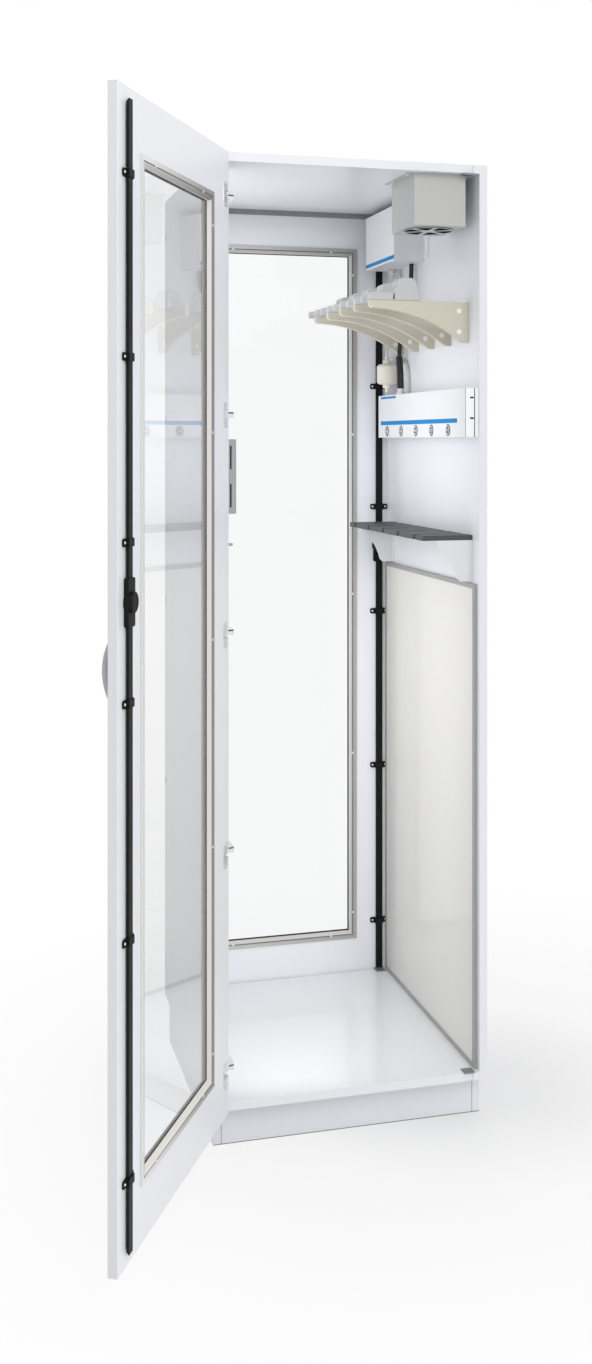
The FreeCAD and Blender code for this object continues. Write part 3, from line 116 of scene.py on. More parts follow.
class ShaderSheet:
    """The node tree of a material or the world, written through one node-making method."""

    def __init__(self, owner: Union[bpy.types.Material, bpy.types.World]) -> None:
        """Start an empty sheet on a material or world."""
        self.owner = owner
        owner.use_nodes = True
        self.tree = owner.node_tree
        self.tree.nodes.clear()

    @classmethod
    def material(cls, name: str) -> "ShaderSheet":
        """An empty sheet on a new material of that name."""
        return cls(bpy.data.materials.new(name))

    def node(self, kind: str, settings: dict[str, object], inputs: dict[Union[int, str], Value],
             output: Union[int, str] = 0) -> Optional[Tap]:
        """Add a node, give it its settings and then its inputs.

        Args:
            kind: the node's Blender type.
            settings: attributes set first; "stops" fills a colour ramp.
            inputs: values or taps by socket index or name.
            output: index or name of the output handed back.

        Returns:
            The chosen output, or nothing from a node that has none.
        """
        made = self.tree.nodes.new(kind)
        for name, setting in settings.items():
            if name == "stops":
                self._fill_ramp(made.color_ramp, setting)
            else:
                setattr(made, name, setting)
        for key, value in inputs.items():
            if isinstance(value, Tap):
                self.tree.links.new(value.socket, made.inputs[key])
            else:
                made.inputs[key].default_value = value
        return Tap(self, made.outputs[output]) if made.outputs else None

    @staticmethod
    def _fill_ramp(ramp: bpy.types.ColorRamp, stops: Iterable[Pair]) -> None:
        """Set a ramp's stops from (place, grey level) pairs."""
        for index, (place, level) in enumerate(stops):
            stop = ramp.elements[index] if index < 2 else ramp.elements.new(place)
            stop.position = place
            stop.color = (level, level, level, 1.0)

    def place(self) -> Tap:
        """The point's own coordinates on its object."""
        return self.node("ShaderNodeTexCoord", {}, {}, "Object")

    def stretched(self, where: Tap, scale: Sequence[float]) -> Tap:
        """Coordinates scaled by a factor along each axis."""
        return self.node("ShaderNodeMapping", {}, {"Vector": where, "Scale": scale})

    def along(self, where: Tap) -> tuple[Tap, Tap, Tap]:
        """The three separate coordinates of a point."""
        split = self.node("ShaderNodeSeparateXYZ", {}, {0: where})
        outs = split.socket.node.outputs
        return split, Tap(self, outs[1]), Tap(self, outs[2])

    def noise(self, where: Tap, scale: float, detail: float = 3.0) -> Tap:
        """Soft noise from 0 to 1 about 0.5, at so many waves to the metre."""
        return self.node("ShaderNodeTexNoise", {},
                         {"Vector": where, "Scale": scale, "Detail": detail}, "Fac")

    def ramp(self, value: Tap, *stops: Pair) -> Tap:
        """A value passed through a grey ramp."""
        return self.node("ShaderNodeValToRGB", {"stops": stops}, {"Fac": value})

    def blend(self, factor: Value, low: Value, high: Value) -> Tap:
        """A colour between two others."""
        low = (*low, 1.0) if isinstance(low, tuple) and len(low) == 3 else low
        high = (*high, 1.0) if isinstance(high, tuple) and len(high) == 3 else high
        return self.node("ShaderNodeMix", {"data_type": "RGBA"}, {0: factor, 6: low, 7: high}, 2)

    def bump(self, height: Tap, distance: float, strength: float = 1.0) -> Tap:
        """A normal tilted by a height in metres times a distance."""
        return self.node("ShaderNodeBump", {},
                         {"Height": height, "Distance": distance, "Strength": strength})

    def rays(self) -> Tap:
        """One on a ray that looks, mirrors or passes through glass, else nought."""
        camera = self.node("ShaderNodeLightPath", {}, {}, "Is Camera Ray")
        outs = camera.socket.node.outputs
        return (camera + Tap(self, outs["Is Glossy Ray"])
                + Tap(self, outs["Is Transmission Ray"])).lesser(1.0)

    def finish(self, shader: Tap) -> bpy.types.Material:
        """Lead a shader to the material's output and hand back the material."""
        self.node("ShaderNodeOutputMaterial", {}, {"Surface": shader})
        return self.owner


# ---- finishes


def shade(colour: Colour, factor: float) -> Colour:
    """A colour made lighter or darker by a factor."""
    return tuple(min(1.0, channel * factor) for channel in colour)


@dataclass(frozen=True)
class Finish:
    """A surface finish: base colour, roughness and how strongly both wander."""

    name: str
    colour: Colour
    roughness: float = 0.4
    metallic: float = 0.0
    mottle: float = 0.03
    grain: float = 900.0
    relief: float = 0.00002
    coat: float = 0.0
    handling: float = 0.05
    gloss: float = 0.5

    def colour_map(self, sheet: ShaderSheet, where: Tap) -> Tap:
        """Base colour with cloudy and fine variation about the finish's own colour."""
        clouds = sheet.noise(where, 7.0, 4.0)
        specks = sheet.noise(where, self.grain * 0.6, 2.0)
        mixed = clouds * 0.7 + specks * 0.3
        return sheet.blend(mixed, shade(self.colour, 1 - self.mottle),
                           shade(self.colour, 1 + self.mottle))

    def roughness_map(self, sheet: ShaderSheet, where: Tap) -> Tap:
        """Roughness with faint smears where hands and cloths have passed."""
        smear = sheet.noise(sheet.stretched(where, (5.0, 5.0, 1.6)), 3.0, 5.0)
        fine = sheet.noise(where, 90.0, 2.0)
        return smear * self.handling + fine * (self.handling * 0.5) + (
            self.roughness - self.handling * 0.7)

    def height_map(self, sheet: ShaderSheet, where: Tap) -> Tap:
        """Fine even grain of the surface."""
        return sheet.noise(where, self.grain, 3.0)

    def build(self) -> bpy.types.Material:
        """Make the material."""
        sheet = ShaderSheet.material(self.name)
        where = sheet.place()
        return sheet.finish(sheet.node("ShaderNodeBsdfPrincipled", {}, {
            "Base Color": self.colour_map(sheet, where),
            "Roughness": self.roughness_map(sheet, where),
            "Metallic": self.metallic,
            "Coat Weight": self.coat,
            "Specular IOR Level": self.gloss,
            "Normal": sheet.bump(self.height_map(sheet, where), self.relief)}))


@dataclass(frozen=True)
class Laminate(Finish):
    """Pressed white laminate: a slow ripple of the board under a fine pearl grain."""

    def height_map(self, sheet: ShaderSheet, where: Tap) -> Tap:
        """Pearl grain with a shallow ripple of about 30 mm under it."""
        return sheet.noise(where, self.grain, 2.0) + sheet.noise(where, 28.0, 1.0) * 2.0


@dataclass(frozen=True)
class Powder(Finish):
    """Powder coat: rounded orange-peel cells about a millimetre across."""

    def height_map(self, sheet: ShaderSheet, where: Tap) -> Tap:
        """Smooth cells of the coat."""
        cells = sheet.node("ShaderNodeTexVoronoi", {"feature": "SMOOTH_F1"},
                           {"Vector": where, "Scale": self.grain})
        return cells + sheet.noise(where, self.grain * 0.4, 2.0)


@dataclass(frozen=True)
class Plated(Finish):
    """Plated or brushed metal with fine lines along one axis."""

    lines: Spot = (1.0, 1.0, 0.03)

    def height_map(self, sheet: ShaderSheet, where: Tap) -> Tap:
        """Fine drawn lines."""
        return sheet.noise(sheet.stretched(where, self.lines), self.grain, 3.0)


@dataclass(frozen=True)
class Striped(Powder):
    """Powder coat with printed bands on the face turned to the cabinet's middle."""

    ink: Colour = (0.0, 0.23, 0.58)
    face: float = 0.0
    bands: tuple[tuple[float, float, float, float], ...] = ()

    def colour_map(self, sheet: ShaderSheet, where: Tap) -> Tap:
        """Coat colour, and ink where y and z lie inside a band on the printed face."""
        x, y, z = sheet.along(where)
        front = x.under(self.face + 0.0005)
        mask: Value = 0.0
        for low_y, high_y, low_z, high_z in self.bands:
            inside = y.over(low_y) * y.under(high_y) * z.over(low_z) * z.under(high_z)
            mask = inside + mask
        ground = super().colour_map(sheet, where)
        return sheet.blend(mask * front, ground, self.ink)


@dataclass(frozen=True)
class ShadedAboveLevel(Finish):
    """Moulded plastic whose surfaces above a level are painted near-black, as painted shade
    inside the fan.
    """

    level: float = 0.0
    # depth: the painted shade colour of the guard inside the housing.
    depth: Colour = (0.02, 0.02, 0.021)

    def colour_map(self, sheet: ShaderSheet, where: Tap) -> Tap:
        """The finish's own colour up to the level, and a painted shade colour over it."""
        _, _, z = sheet.along(where)
        return sheet.blend(z.over(self.level), super().colour_map(sheet, where), self.depth)


@dataclass(frozen=True)
class PaintedLightTrim(Finish):
    """Extruded window trim with painted light and shade: its sloping reveal is painted lighter
    than its flange.

    The painted reveal begins at an inset from the door's edges, and the flange's painted shade
    changes from the hinges to the lock, both told on the shut door: the point is first turned
    back.
    """

    # reveal and far are painted light and shade: the reveal's colour, and the flange's colour at
    # the lock side.
    reveal: Colour = (0.5, 0.49, 0.47)
    far: Colour = (0.5, 0.49, 0.47)
    inset: float = 0.115
    half_wide: float = 0.299
    half_tall: float = 0.9915
    middle: float = 1.0825
    turned: float = 0.0

    def colour_map(self, sheet: ShaderSheet, where: Tap) -> Tap:
        """Painted light and shade: the flange's colours near the door's edges, and the reveal's
        further in.
        """
        x, y, z = sheet.along(where)
        cos, sin = math.cos(self.turned), math.sin(self.turned)
        across = (x + 0.291) * cos - (y + 0.327) * sin - 0.291
        depth = (self.half_wide - abs(across)).lesser(self.half_tall - abs(z - self.middle))
        # Painted shading across the flange, from the hinge side to the lock side.
        painted_light_fade = sheet.node("ShaderNodeMapRange", {}, {
            "Value": across, "From Min": -0.17, "From Max": 0.17})
        flange = sheet.blend(painted_light_fade, super().colour_map(sheet, where), self.far)
        return sheet.blend(depth.over(self.inset), flange, self.reveal)


@dataclass(frozen=True)
class Pane:
    """Clear flat glass that mirrors more at a slant, with a trace of smears."""

    name: str
    tint: Colour
    index: float = 1.5
    haze: float = 0.015
    gain: float = 2.3

    def build(self) -> bpy.types.Material:
        """Make the material: a mirror mixed over clear glass by the slant of the view."""
        sheet = ShaderSheet.material(self.name)
        where = sheet.place()
        slant = sheet.node("ShaderNodeFresnel", {}, {"IOR": self.index})
        back = sheet.node("ShaderNodeNewGeometry", {}, {}, "Backfacing")
        smear = sheet.noise(sheet.stretched(where, (3.0, 3.0, 0.7)), 4.0, 4.0)
        mirror = sheet.node("ShaderNodeBsdfPrincipled", {}, {
            "Base Color": (0.98, 0.99, 1.0, 1.0), "Metallic": 1.0,
            "Roughness": smear * self.haze})
        clear = sheet.node("ShaderNodeBsdfTransparent", {}, {"Color": (*self.tint, 1.0)})
        both_faces = (slant * self.gain - self.gain * 0.045).at_least(0.0)
        amount = both_faces * (1 - back) + smear * 0.006
        return sheet.finish(sheet.node("ShaderNodeMixShader", {},
                                       {0: amount, 1: clear, 2: mirror}))


@dataclass(frozen=True)
class Tube:
    """Clear flexible tube: milky and see-through, brighter towards its edges."""

    name: str
    colour: Colour
    body: float = 0.55

    def build(self) -> bpy.types.Material:
        """Make the material."""
        sheet = ShaderSheet.material(self.name)
        where = sheet.place()
        edge = sheet.node("ShaderNodeLayerWeight", {}, {"Blend": 0.35}, "Facing")
        streak = sheet.noise(where, 260.0, 2.0)
        return sheet.finish(sheet.node("ShaderNodeBsdfPrincipled", {}, {
            "Base Color": sheet.blend(streak, shade(self.colour, 0.92), self.colour),
            "Roughness": streak * 0.12 + 0.12,
            "Alpha": edge * (1 - self.body) + self.body,
            "Coat Weight": 0.3,
            "Normal": sheet.bump(streak, 0.00005)}))


class Skin(Enum):
    """The finishes of the cabinet's pieces."""

    BOARD = Laminate("white_laminate", (0.80, 0.815, 0.85), 0.3, mottle=0.012, grain=1400.0,
                     relief=0.00001, coat=0.15, handling=0.1)
    FLOOR = Laminate("floor_laminate", (0.82, 0.83, 0.855), 0.22, mottle=0.012, grain=1200.0,
                     relief=0.00001, coat=0.3, handling=0.1)
    GLASS = Pane("window_pane", (0.965, 0.968, 0.97))
    SEAL = Finish("black_seal", (0.02, 0.02, 0.022), 0.65, relief=0.00004, grain=700.0)
    # TRIM and TRIM_OPEN are lit and shaded copies of one trim plastic: their flange, reveal and
    # lock-side colours are painted light and shade.
    TRIM = PaintedLightTrim("grey_trim_painted_light", (0.53, 0.522, 0.51), 0.3, coat=0.25,
                  reveal=(0.60, 0.59, 0.575), far=(0.38, 0.374, 0.364))
    TRIM_OPEN = PaintedLightTrim("open_door_trim_painted_light", (0.28, 0.274, 0.265), 0.34, gloss=0.3,
                       reveal=(0.72, 0.695, 0.665), far=(0.76, 0.75, 0.745),
                       turned=math.radians(120))
    # Dark line colour: real seams on the plinth, and painted shade along the plinth's foot and
    # in the door trim's groove.
    SEAM_AND_SHADE_LINE = Finish("seam_and_shade_line", (0.19, 0.187, 0.182), 0.5, mottle=0.05)
    TRIM_OUTSIDE = Finish("outer_trim", (0.50, 0.495, 0.485), 0.36, mottle=0.04)
    CAP = Finish("trim_cap", (0.74, 0.735, 0.725), 0.28, coat=0.3)
    NICKEL = Plated("hinge_nickel", (0.76, 0.765, 0.77), 0.3, 1.0, grain=800.0, mottle=0.05)
    STRIKE = Plated("strike_grey", (0.24, 0.24, 0.245), 0.42, 0.4, grain=500.0, mottle=0.08)
    ZINC = Plated("strike_zinc", (0.66, 0.665, 0.67), 0.34, 1.0, grain=500.0, mottle=0.08)
    ROD = Powder("rod_black", (0.007, 0.0073, 0.0075), 0.5, mottle=0.2, gloss=0.16)
    GUIDE = Finish("guide_black", (0.007, 0.007, 0.0075), 0.55, grain=1000.0, mottle=0.25,
                   relief=0.00005, gloss=0.16)
    KNOB = Plated("knob_nickel", (0.63, 0.63, 0.63), 0.28, 1.0, grain=700.0,
                  lines=(1.0, 0.05, 1.0))
    HANDLE = Finish("handle_grey", (0.54, 0.545, 0.55), 0.35, mottle=0.06, grain=1000.0,
                    relief=0.00003)
    STRIP = Finish("ceiling_strip", (0.20, 0.205, 0.215), 0.6, mottle=0.1, grain=600.0)
    FAN_SHEET = Powder("fan_sheet", (0.50, 0.505, 0.49), 0.38, relief=0.00003)
    FAN_GUARD = ShadedAboveLevel("fan_guard_grey", (0.62, 0.625, 0.61), 0.42, level=1.9476)
    FAN_DARK = Finish("fan_black", (0.012, 0.012, 0.013), 0.55, mottle=0.2, grain=800.0)
    CONTROL = Striped("control_white", (0.80, 0.81, 0.83), 0.33, mottle=0.015,
                      gloss=0.06, face=0.205, bands=((0.036, 0.257, 1.9190, 1.9282),))
    MANIFOLD = Striped("manifold_white", (0.80, 0.81, 0.825), 0.33, mottle=0.015,
                       gloss=0.06, face=0.25,
                       bands=((-0.262, 0.272, 1.5205, 1.5305), (0.155, 0.272, 1.5872, 1.5925)))
    GLAND = Plated("gland_nickel", (0.66, 0.66, 0.67), 0.2, 1.0, grain=700.0,
                   lines=(0.05, 0.05, 1.0))
    CABLE = Finish("cable_black", (0.012, 0.012, 0.013), 0.45, grain=1500.0, mottle=0.2)
    HOSE = Tube("clear_hose", (0.74, 0.77, 0.76))
    PORT = Finish("port_light", (0.70, 0.71, 0.72), 0.35, grain=1000.0)
    PORT_RING = Finish("port_ring", (0.07, 0.075, 0.085), 0.45, mottle=0.06, grain=1000.0)
    FILTER = Finish("filter_beige", (0.76, 0.735, 0.66), 0.42, mottle=0.05, grain=500.0,
                    relief=0.00005)
    HANGER = Finish("hanger_beige", (0.60, 0.56, 0.46), 0.36, mottle=0.035, relief=0.00003,
                    coat=0.1, grain=700.0)
    CRADLE = Finish("cradle_grey", (0.52, 0.535, 0.54), 0.4, mottle=0.04, grain=800.0,
                    relief=0.00004)
    RAIL = Finish("rail_dark", (0.054, 0.057, 0.059), 0.5, mottle=0.12, relief=0.00006)
    GUSSET = Powder("gusset_white", (0.74, 0.74, 0.75), 0.36, mottle=0.02)
    BRIGHT = Powder("bracket_bright", (0.95, 0.955, 0.96), 0.36, mottle=0.01)
    DRIP = Finish("drip_cream", (0.74, 0.728, 0.685), 0.3, mottle=0.015, grain=420.0, coat=0.2)
    EDGING = Finish("edging_grey", (0.338, 0.338, 0.333), 0.36, mottle=0.04)
    BRACKET = Powder("bracket_grey", (0.19, 0.19, 0.198), 0.38)
    SHADE_AND_GAP = Finish("shade_and_gap_dark", (0.012, 0.012, 0.013), 0.6, mottle=0.2)
    CAP_WHITE = Finish("cap_white", (0.86, 0.86, 0.84), 0.3, mottle=0.02)


class Paint:
    """Hands out each finish's material, built once."""

    def __init__(self) -> None:
        """Start with nothing mixed."""
        self.mixed: dict[Skin, bpy.types.Material] = {}

    def of(self, skin: Skin) -> bpy.types.Material:
        """The material of a finish."""
        if skin not in self.mixed:
            self.mixed[skin] = skin.value.build()
        return self.mixed[skin]


PAINT = Paint()


# ---- surfaces


def wrap_faces(rows: int, columns: int, close: bool) -> np.ndarray:
    """Quads between neighbouring rows and columns of a grid.

    Args:
        rows: how many rows of points.
        columns: how many points in each.
        close: whether the last column joins the first.

    Returns:
        An array of four vertex numbers per face.
    """
    row = np.arange(rows - 1)[:, None]
    column = np.arange(columns if close else columns - 1)[None, :]
    beside = (column + 1) % columns
    quad = (row * columns + column, row * columns + beside,
            (row + 1) * columns + beside, (row + 1) * columns + column)
    return np.stack(np.broadcast_arrays(*quad), -1).reshape(-1, 4)


@dataclass
class Piece:
    """A mesh in the making: its points, its faces and what it is dressed in."""

    name: str
    skin: Skin
    points: list[np.ndarray] = field(default_factory=list)
    faces: list[list[int]] = field(default_factory=list)
    count: int = 0

    def add(self, points: np.ndarray, faces: Iterable[Iterable[int]]) -> None:
        """Add a patch of points and the faces between them."""
        flat = np.asarray(points, float).reshape(-1, 3)
        self.faces += [[self.count + int(i) for i in face] for face in faces]
        self.points.append(flat)
        self.count += len(flat)

    def tube(self, rings: np.ndarray) -> None:
        """Add a closed tube through rings of points, row by row, with flat ends."""
        rows, columns = rings.shape[:2]
        faces = wrap_faces(rows, columns, True).tolist()
        faces.append(list(range(columns))[::-1])
        faces.append([(rows - 1) * columns + i for i in range(columns)])
        self.add(rings, faces)

    def lathe(self, centre: Sequence[float], axis: Sequence[float],
              profile: Sequence[Pair], sides: int) -> None:
        """Add a turned shape: each (radius, height) of the profile swept round an axis."""
        along = Vector(axis).normalized()
        across = along.orthogonal().normalized()
        third = along.cross(across)
        angle = np.linspace(0, 2 * math.pi, sides, endpoint=False)
        round_ = np.cos(angle)[:, None] * np.array(across) + np.sin(angle)[:, None] * np.array(
            third)
        radius, height = np.array(profile, float).T
        rings = (np.array(centre, float) + height[:, None, None] * np.array(along)
                 + radius[:, None, None] * round_[None])
        self.tube(rings)

    def object(self, carry: Callable[[np.ndarray], np.ndarray] = lambda p: p,
               flip: bool = False) -> bpy.types.Object:
        """Make the Blender object, with its points carried to where the piece stands.

        Args:
            carry: moves an array of points.
            flip: whether the carrying mirrors, so that faces turn over.

        Returns:
            The new object, dressed in its finish.
        """
        mesh = bpy.data.meshes.new(self.name)
        faces = [face[::-1] for face in self.faces] if flip else self.faces
        mesh.from_pydata(carry(np.concatenate(self.points)).tolist(), [], faces)
        mesh.materials.append(PAINT.of(self.skin))
        mesh.polygons.foreach_set("use_smooth", np.ones(len(mesh.polygons), bool))
        mesh.update()
        made = bpy.data.objects.new(self.name, mesh)
        bpy.context.scene.collection.objects.link(made)
        mesh.set_sharp_from_angle(angle=math.radians(38))
        return made


def frame_band(outer: float, inner: float, low: float, high: float,
               window: tuple[float, float, float, float]) -> tuple[np.ndarray, list]:
    """A flat rectangular band round a window, square in section.

    Args:
        outer: inset of the band's outer edge from the window's rectangle.
        inner: inset of its inner edge.
        low: where it starts in y.
        high: where it ends in y.
        window: lowest x, lowest z, highest x and highest z of the rectangle.

    Returns:
        Sixteen points, four to a corner, and the quads that close them into a loop.
    """
    left, foot, right, head = window
    corner = np.array([(left, foot, 1, 1), (right, foot, -1, 1), (right, head, -1, -1),
                       (left, head, 1, -1)], float)
    section = np.array([(outer, high), (inner, high), (inner, low), (outer, low)])
    points = np.zeros((4, 4, 3))
    points[:, :, 0] = corner[:, None, 0] + corner[:, None, 2] * section[None, :, 0]
    points[:, :, 1] = section[None, :, 1]
    points[:, :, 2] = corner[:, None, 1] + corner[:, None, 3] * section[None, :, 0]
    faces = (wrap_faces(5, 4, True) % 16).tolist()
    return points, faces


def prism(outline: np.ndarray, low: float, high: float, axis: int) -> np.ndarray:
    """Two rings of an outline carried along an axis.

    Args:
        outline: points in the plane of the other two axes, in axis order.
        low: where the prism starts along its axis.
        high: where it ends.
        axis: 0, 1 or 2.

    Returns:
        Rings as an array of shape (2, points, 3).
    """
    rings = np.zeros((2, len(outline), 3))
    rest = [i for i in range(3) if i != axis]
    rings[:, :, rest] = outline[None]
    rings[0, :, axis] = low
    rings[1, :, axis] = high
    return rings


def rectangle(first: Pair, last: Pair) -> np.ndarray:
    """Outline of a rectangle from its low corner to its high corner."""
    (low, foot), (high, head) = first, last
    return np.array([(low, foot), (high, foot), (high, head), (low, head)])


def arc(centre: Pair, radius: float, start: float, end: float,
        steps: int = 8) -> np.ndarray:
    """Points on a circular arc between two angles in degrees."""
    angle = np.radians(np.linspace(start, end, steps))
    return np.stack([centre[0] + radius * np.cos(angle), centre[1] + radius * np.sin(angle)], 1)


def soften(piece: bpy.types.Object, width: float, segments: int = 3) -> None:
    """Round a piece's edges with a bevel."""
    bevel = piece.modifiers.new("edges", "BEVEL")
    bevel.width = width
    bevel.segments = segments
    bevel.limit_method = "ANGLE"
    bevel.angle_limit = math.radians(35)


def dress(skins: dict[str, Skin]) -> None:
    """Put finishes on CAD nodes by name."""
    for name, skin in skins.items():
        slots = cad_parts[name].data.materials
        slots.clear()
        slots.append(PAINT.of(skin))
        LOG.info("dressed %s in %s", name, skin.value.name)


def settle(piece: bpy.types.Object, slot: str, *nodes: str, body: str = "cabinet") -> None:
    """Hang a piece on the body that it rides on, and hide the CAD nodes it stands for."""
    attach(piece, body)
    if nodes:
        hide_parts(*nodes)
    LOG.info("piece %s rides on %s", piece.name, body)


SCREW_HEAD = ((0.0009, 0.0008), (0.0012, 0.0016), (0.0023, 0.0014), (0.0033, 0.0008),
              (0.0036, 0.0002), (0.0036, -0.0002))
INTO_CABINET, UPWARD, DOWNWARD = (0, -1, 0), (0, 0, 1), (0, 0, -1)


def screw_head(wide: float, tall: float) -> tuple[Pair, ...]:
    """The screw head's profile with its radii and heights scaled."""
    return tuple((radius * wide, height * tall) for radius, height in SCREW_HEAD)


def turned(name: str, skin: Skin, spots: Iterable[Spot], axis: Spot,
           profile: Sequence[Pair] = SCREW_HEAD, sides: int = 16) -> Piece:
    """A piece of equal turned shapes, one at each spot."""
    piece = Piece(name, skin)
    for spot in spots:
        piece.lathe(spot, axis, profile, sides)
    return piece


# ---- sub-assemblies


@dataclass
class Carcass:
    """Side, top and floor boards on the plinth, with strikes and the ceiling strip."""

    seam: float = 0.282
    seam_half: float = 0.0005
    seam_proud: float = 0.0003
    half_width: float = 0.299
    shade_line_proud: float = 0.0004
    shade_line_tall: float = 0.0016

    def build(self) -> None:
        """Dress the boards, mark the plinth's seams, and lay a dark line of painted contact
        shade along its foot.
        """
        dress({"left_side_panel": Skin.BOARD, "right_side_panel": Skin.BOARD,
               "top_panel": Skin.BOARD, "floor_panel": Skin.FLOOR,
               "plinth_side_boards": Skin.BOARD, "plinth_cross_boards": Skin.BOARD,
               "ceiling_seal_strip": Skin.STRIP, "rod_strikes": Skin.STRIKE})
        low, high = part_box("plinth_cross_boards")
        piece = Piece("plinth_seams_and_shade_line", Skin.SEAM_AND_SHADE_LINE)
        for sign in (-1, 1):
            for face, out in ((low[1], -1), (high[1], 1)):
                seam = rectangle(
                    (sign * self.seam - self.seam_half, face - self.seam_proud),
                    (sign * self.seam + self.seam_half, face + self.seam_proud))
                piece.tube(prism(seam, low[2] + 0.002, high[2] - 0.001, 2)[::out])
        # Dark strip along the plinth's front foot: painted contact shade on the floor line.
        edge = rectangle((low[1] - self.shade_line_proud, 0.0), (low[1], self.shade_line_tall))
        piece.tube(prism(edge, -self.half_width, self.half_width, 0))
        settle(piece.object(), "white_laminate")


@dataclass
class Door:
    """One glazed door with its trims, hinges, lock rods, guides and handle.

    Small fittings are worked out on the closed rear door; the front door is its mirror
    image in y, turned by the opening angle about its hinge.
    """

    side: str
    opened: float = math.radians(120)
    pivot: Pair = (-0.291, -0.327)
    rod_x: float = 0.258
    inner: float = 0.317
    lock_level: float = 1.209
    carcass_edge: float = 0.313
    ear: float = 0.0173
    cup_x: float = -0.2765
    cup_screw: float = 0.0215
    base_x: float = -0.280
    base_screw: Pair = (0.031, 0.018)
    arm_x: float = -0.2631
    arm_screw: Pair = (0.022, 0.043)
    groove: Pair = (0.1114, 0.1140)
    guides: tuple[float, ...] = (1.931, 1.622, 1.310, 1.039, 0.639, 0.236)
    hinges: tuple[float, ...] = (0.178, 0.63025, 1.0825, 1.53475, 1.987)

    @property
    def body(self) -> str:
        """The body that this door's fixed pieces ride on."""
        return f"{self.side}_door"

    @property
    def mirrored(self) -> bool:
        """Whether this door is the mirrored, open one."""
        return self.side == "front"

    def carry(self, points: np.ndarray) -> np.ndarray:
        """Take points from the closed rear door to this door.

        The front door's point is (x, -y, z) turned about the hinge line by minus the
        opening angle.
        """
        if not self.mirrored:
            return points
        moved = points * np.array([1.0, -1.0, 1.0])
        x, y = moved[:, 0] - self.pivot[0], moved[:, 1] - self.pivot[1]
        cos, sin = math.cos(-self.opened), math.sin(-self.opened)
        return np.stack([self.pivot[0] + x * cos - y * sin,
                         self.pivot[1] + x * sin + y * cos, moved[:, 2]], 1)

    def hang(self, piece: Piece, slot: str) -> None:
        """Carry a fitting to this door and let it ride there."""
        settle(piece.object(self.carry, self.mirrored), slot, body=self.body)

    def build(self) -> None:
        """Dress the door and add its fittings."""
        skins = {"door_panel": Skin.BOARD, "window_glass": Skin.GLASS,
                 "glass_gaskets": Skin.SEAL,
                 # The two doors' inner trims take lit and shaded copies of one trim finish.
                 "inner_trim": Skin.TRIM_OPEN if self.mirrored else Skin.TRIM,
                 "outer_trim": Skin.TRIM_OUTSIDE, "trim_caps": Skin.CAP,
                 "hinge_cups": Skin.NICKEL, "upper_rod": Skin.ROD, "lower_rod": Skin.ROD,
                 "rod_guides": Skin.GUIDE, "lock_case": Skin.GUIDE, "turn_knob": Skin.KNOB,
                 "door_handle": Skin.HANDLE, "hinge_arms": Skin.NICKEL}
        dress({f"{self.side}_{name}": skin for name, skin in skins.items()})
        self.guide_screws()
        self.cup_screws()
        self.arm_screws()
        self.lock_dial()
        self.groove_shade_line()

    def guide_screws(self) -> None:
        """Small screw heads in the two ears of every rod guide, coloured matte white as a
        painted highlight on the metal heads.
        """
        spots = [(self.rod_x + offset, self.inner - 0.003, level)
                 for level in self.guides for offset in (-self.ear, self.ear)]
        self.hang(turned(f"{self.side}_guide_screws", Skin.CAP_WHITE, spots, INTO_CABINET,
                         screw_head(0.68, 1.0)), "guide_black")

    def cup_screws(self) -> None:
        """Two countersunk screws in the flange of every hinge cup."""
        spots = [(self.cup_x, self.inner - 0.001, level + offset)
                 for level in self.hinges for offset in (-self.cup_screw, self.cup_screw)]
        self.hang(turned(f"{self.side}_cup_screws", Skin.ZINC, spots, INTO_CABINET),
                  "hinge_steel")

    def arm_screws(self) -> None:
        """Screws of the hinge base plates and each arm, and a dark sliver of painted shade at
        each arm's open front.
        """
        sign = -1.0 if self.mirrored else 1.0
        reach, rise = self.base_screw
        places = [(self.base_x, reach, -rise), (self.base_x, reach, rise)]
        places += [(self.arm_x, reach, 0.0) for reach in self.arm_screw]
        spots = [(x, sign * (self.carcass_edge - reach), level + up)
                 for level in self.hinges for x, reach, up in places]
        settle(turned(f"{self.side}_arm_screws", Skin.ZINC, spots, (1, 0, 0)).object(),
               "hinge_steel")
        # A near-black sliver at each arm's open front: painted shade.
        mouth = Piece(f"{self.side}_arm_mouth_shades", Skin.SHADE_AND_GAP)
        slope = np.array([(-0.2760, 0.3101), (-0.2638, 0.3064), (-0.2640, 0.3058),
                          (-0.2762, 0.3095)]) * (1.0, sign)
        for level in self.hinges:
            mouth.tube(prism(slope, level + 0.0026, level + 0.0054, 2))
        settle(mouth.object(), "hinge_steel")

    def lock_dial(self) -> None:
        """A raised round dial with a slot on the lock case's boss."""
        profile = ((0.0152, -0.001), (0.0152, 0.0006), (0.0146, 0.0012), (0.0118, 0.0012),
                   (0.0112, 0.0004), (0.0064, 0.0004), (0.0058, 0.001), (0.0, 0.0011))
        self.hang(turned(f"{self.side}_lock_dial", Skin.ROD, [
            (self.rod_x, self.inner - 0.014, self.lock_level)], INTO_CABINET, profile, 40),
            "guide_black")

    def groove_shade_line(self) -> None:
        """A line of painted shade in the groove of the inner trim, 0.8 mm thick."""
        low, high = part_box("rear_door_panel")
        window = (low[0], low[2], high[0], high[2])
        piece = Piece(f"{self.side}_groove_shade_line", Skin.SEAM_AND_SHADE_LINE)
        start = self.inner - 0.0014
        piece.add(*frame_band(*self.groove, start - 0.0005, start + 0.0003, window))
        self.hang(piece, "trim_grey")


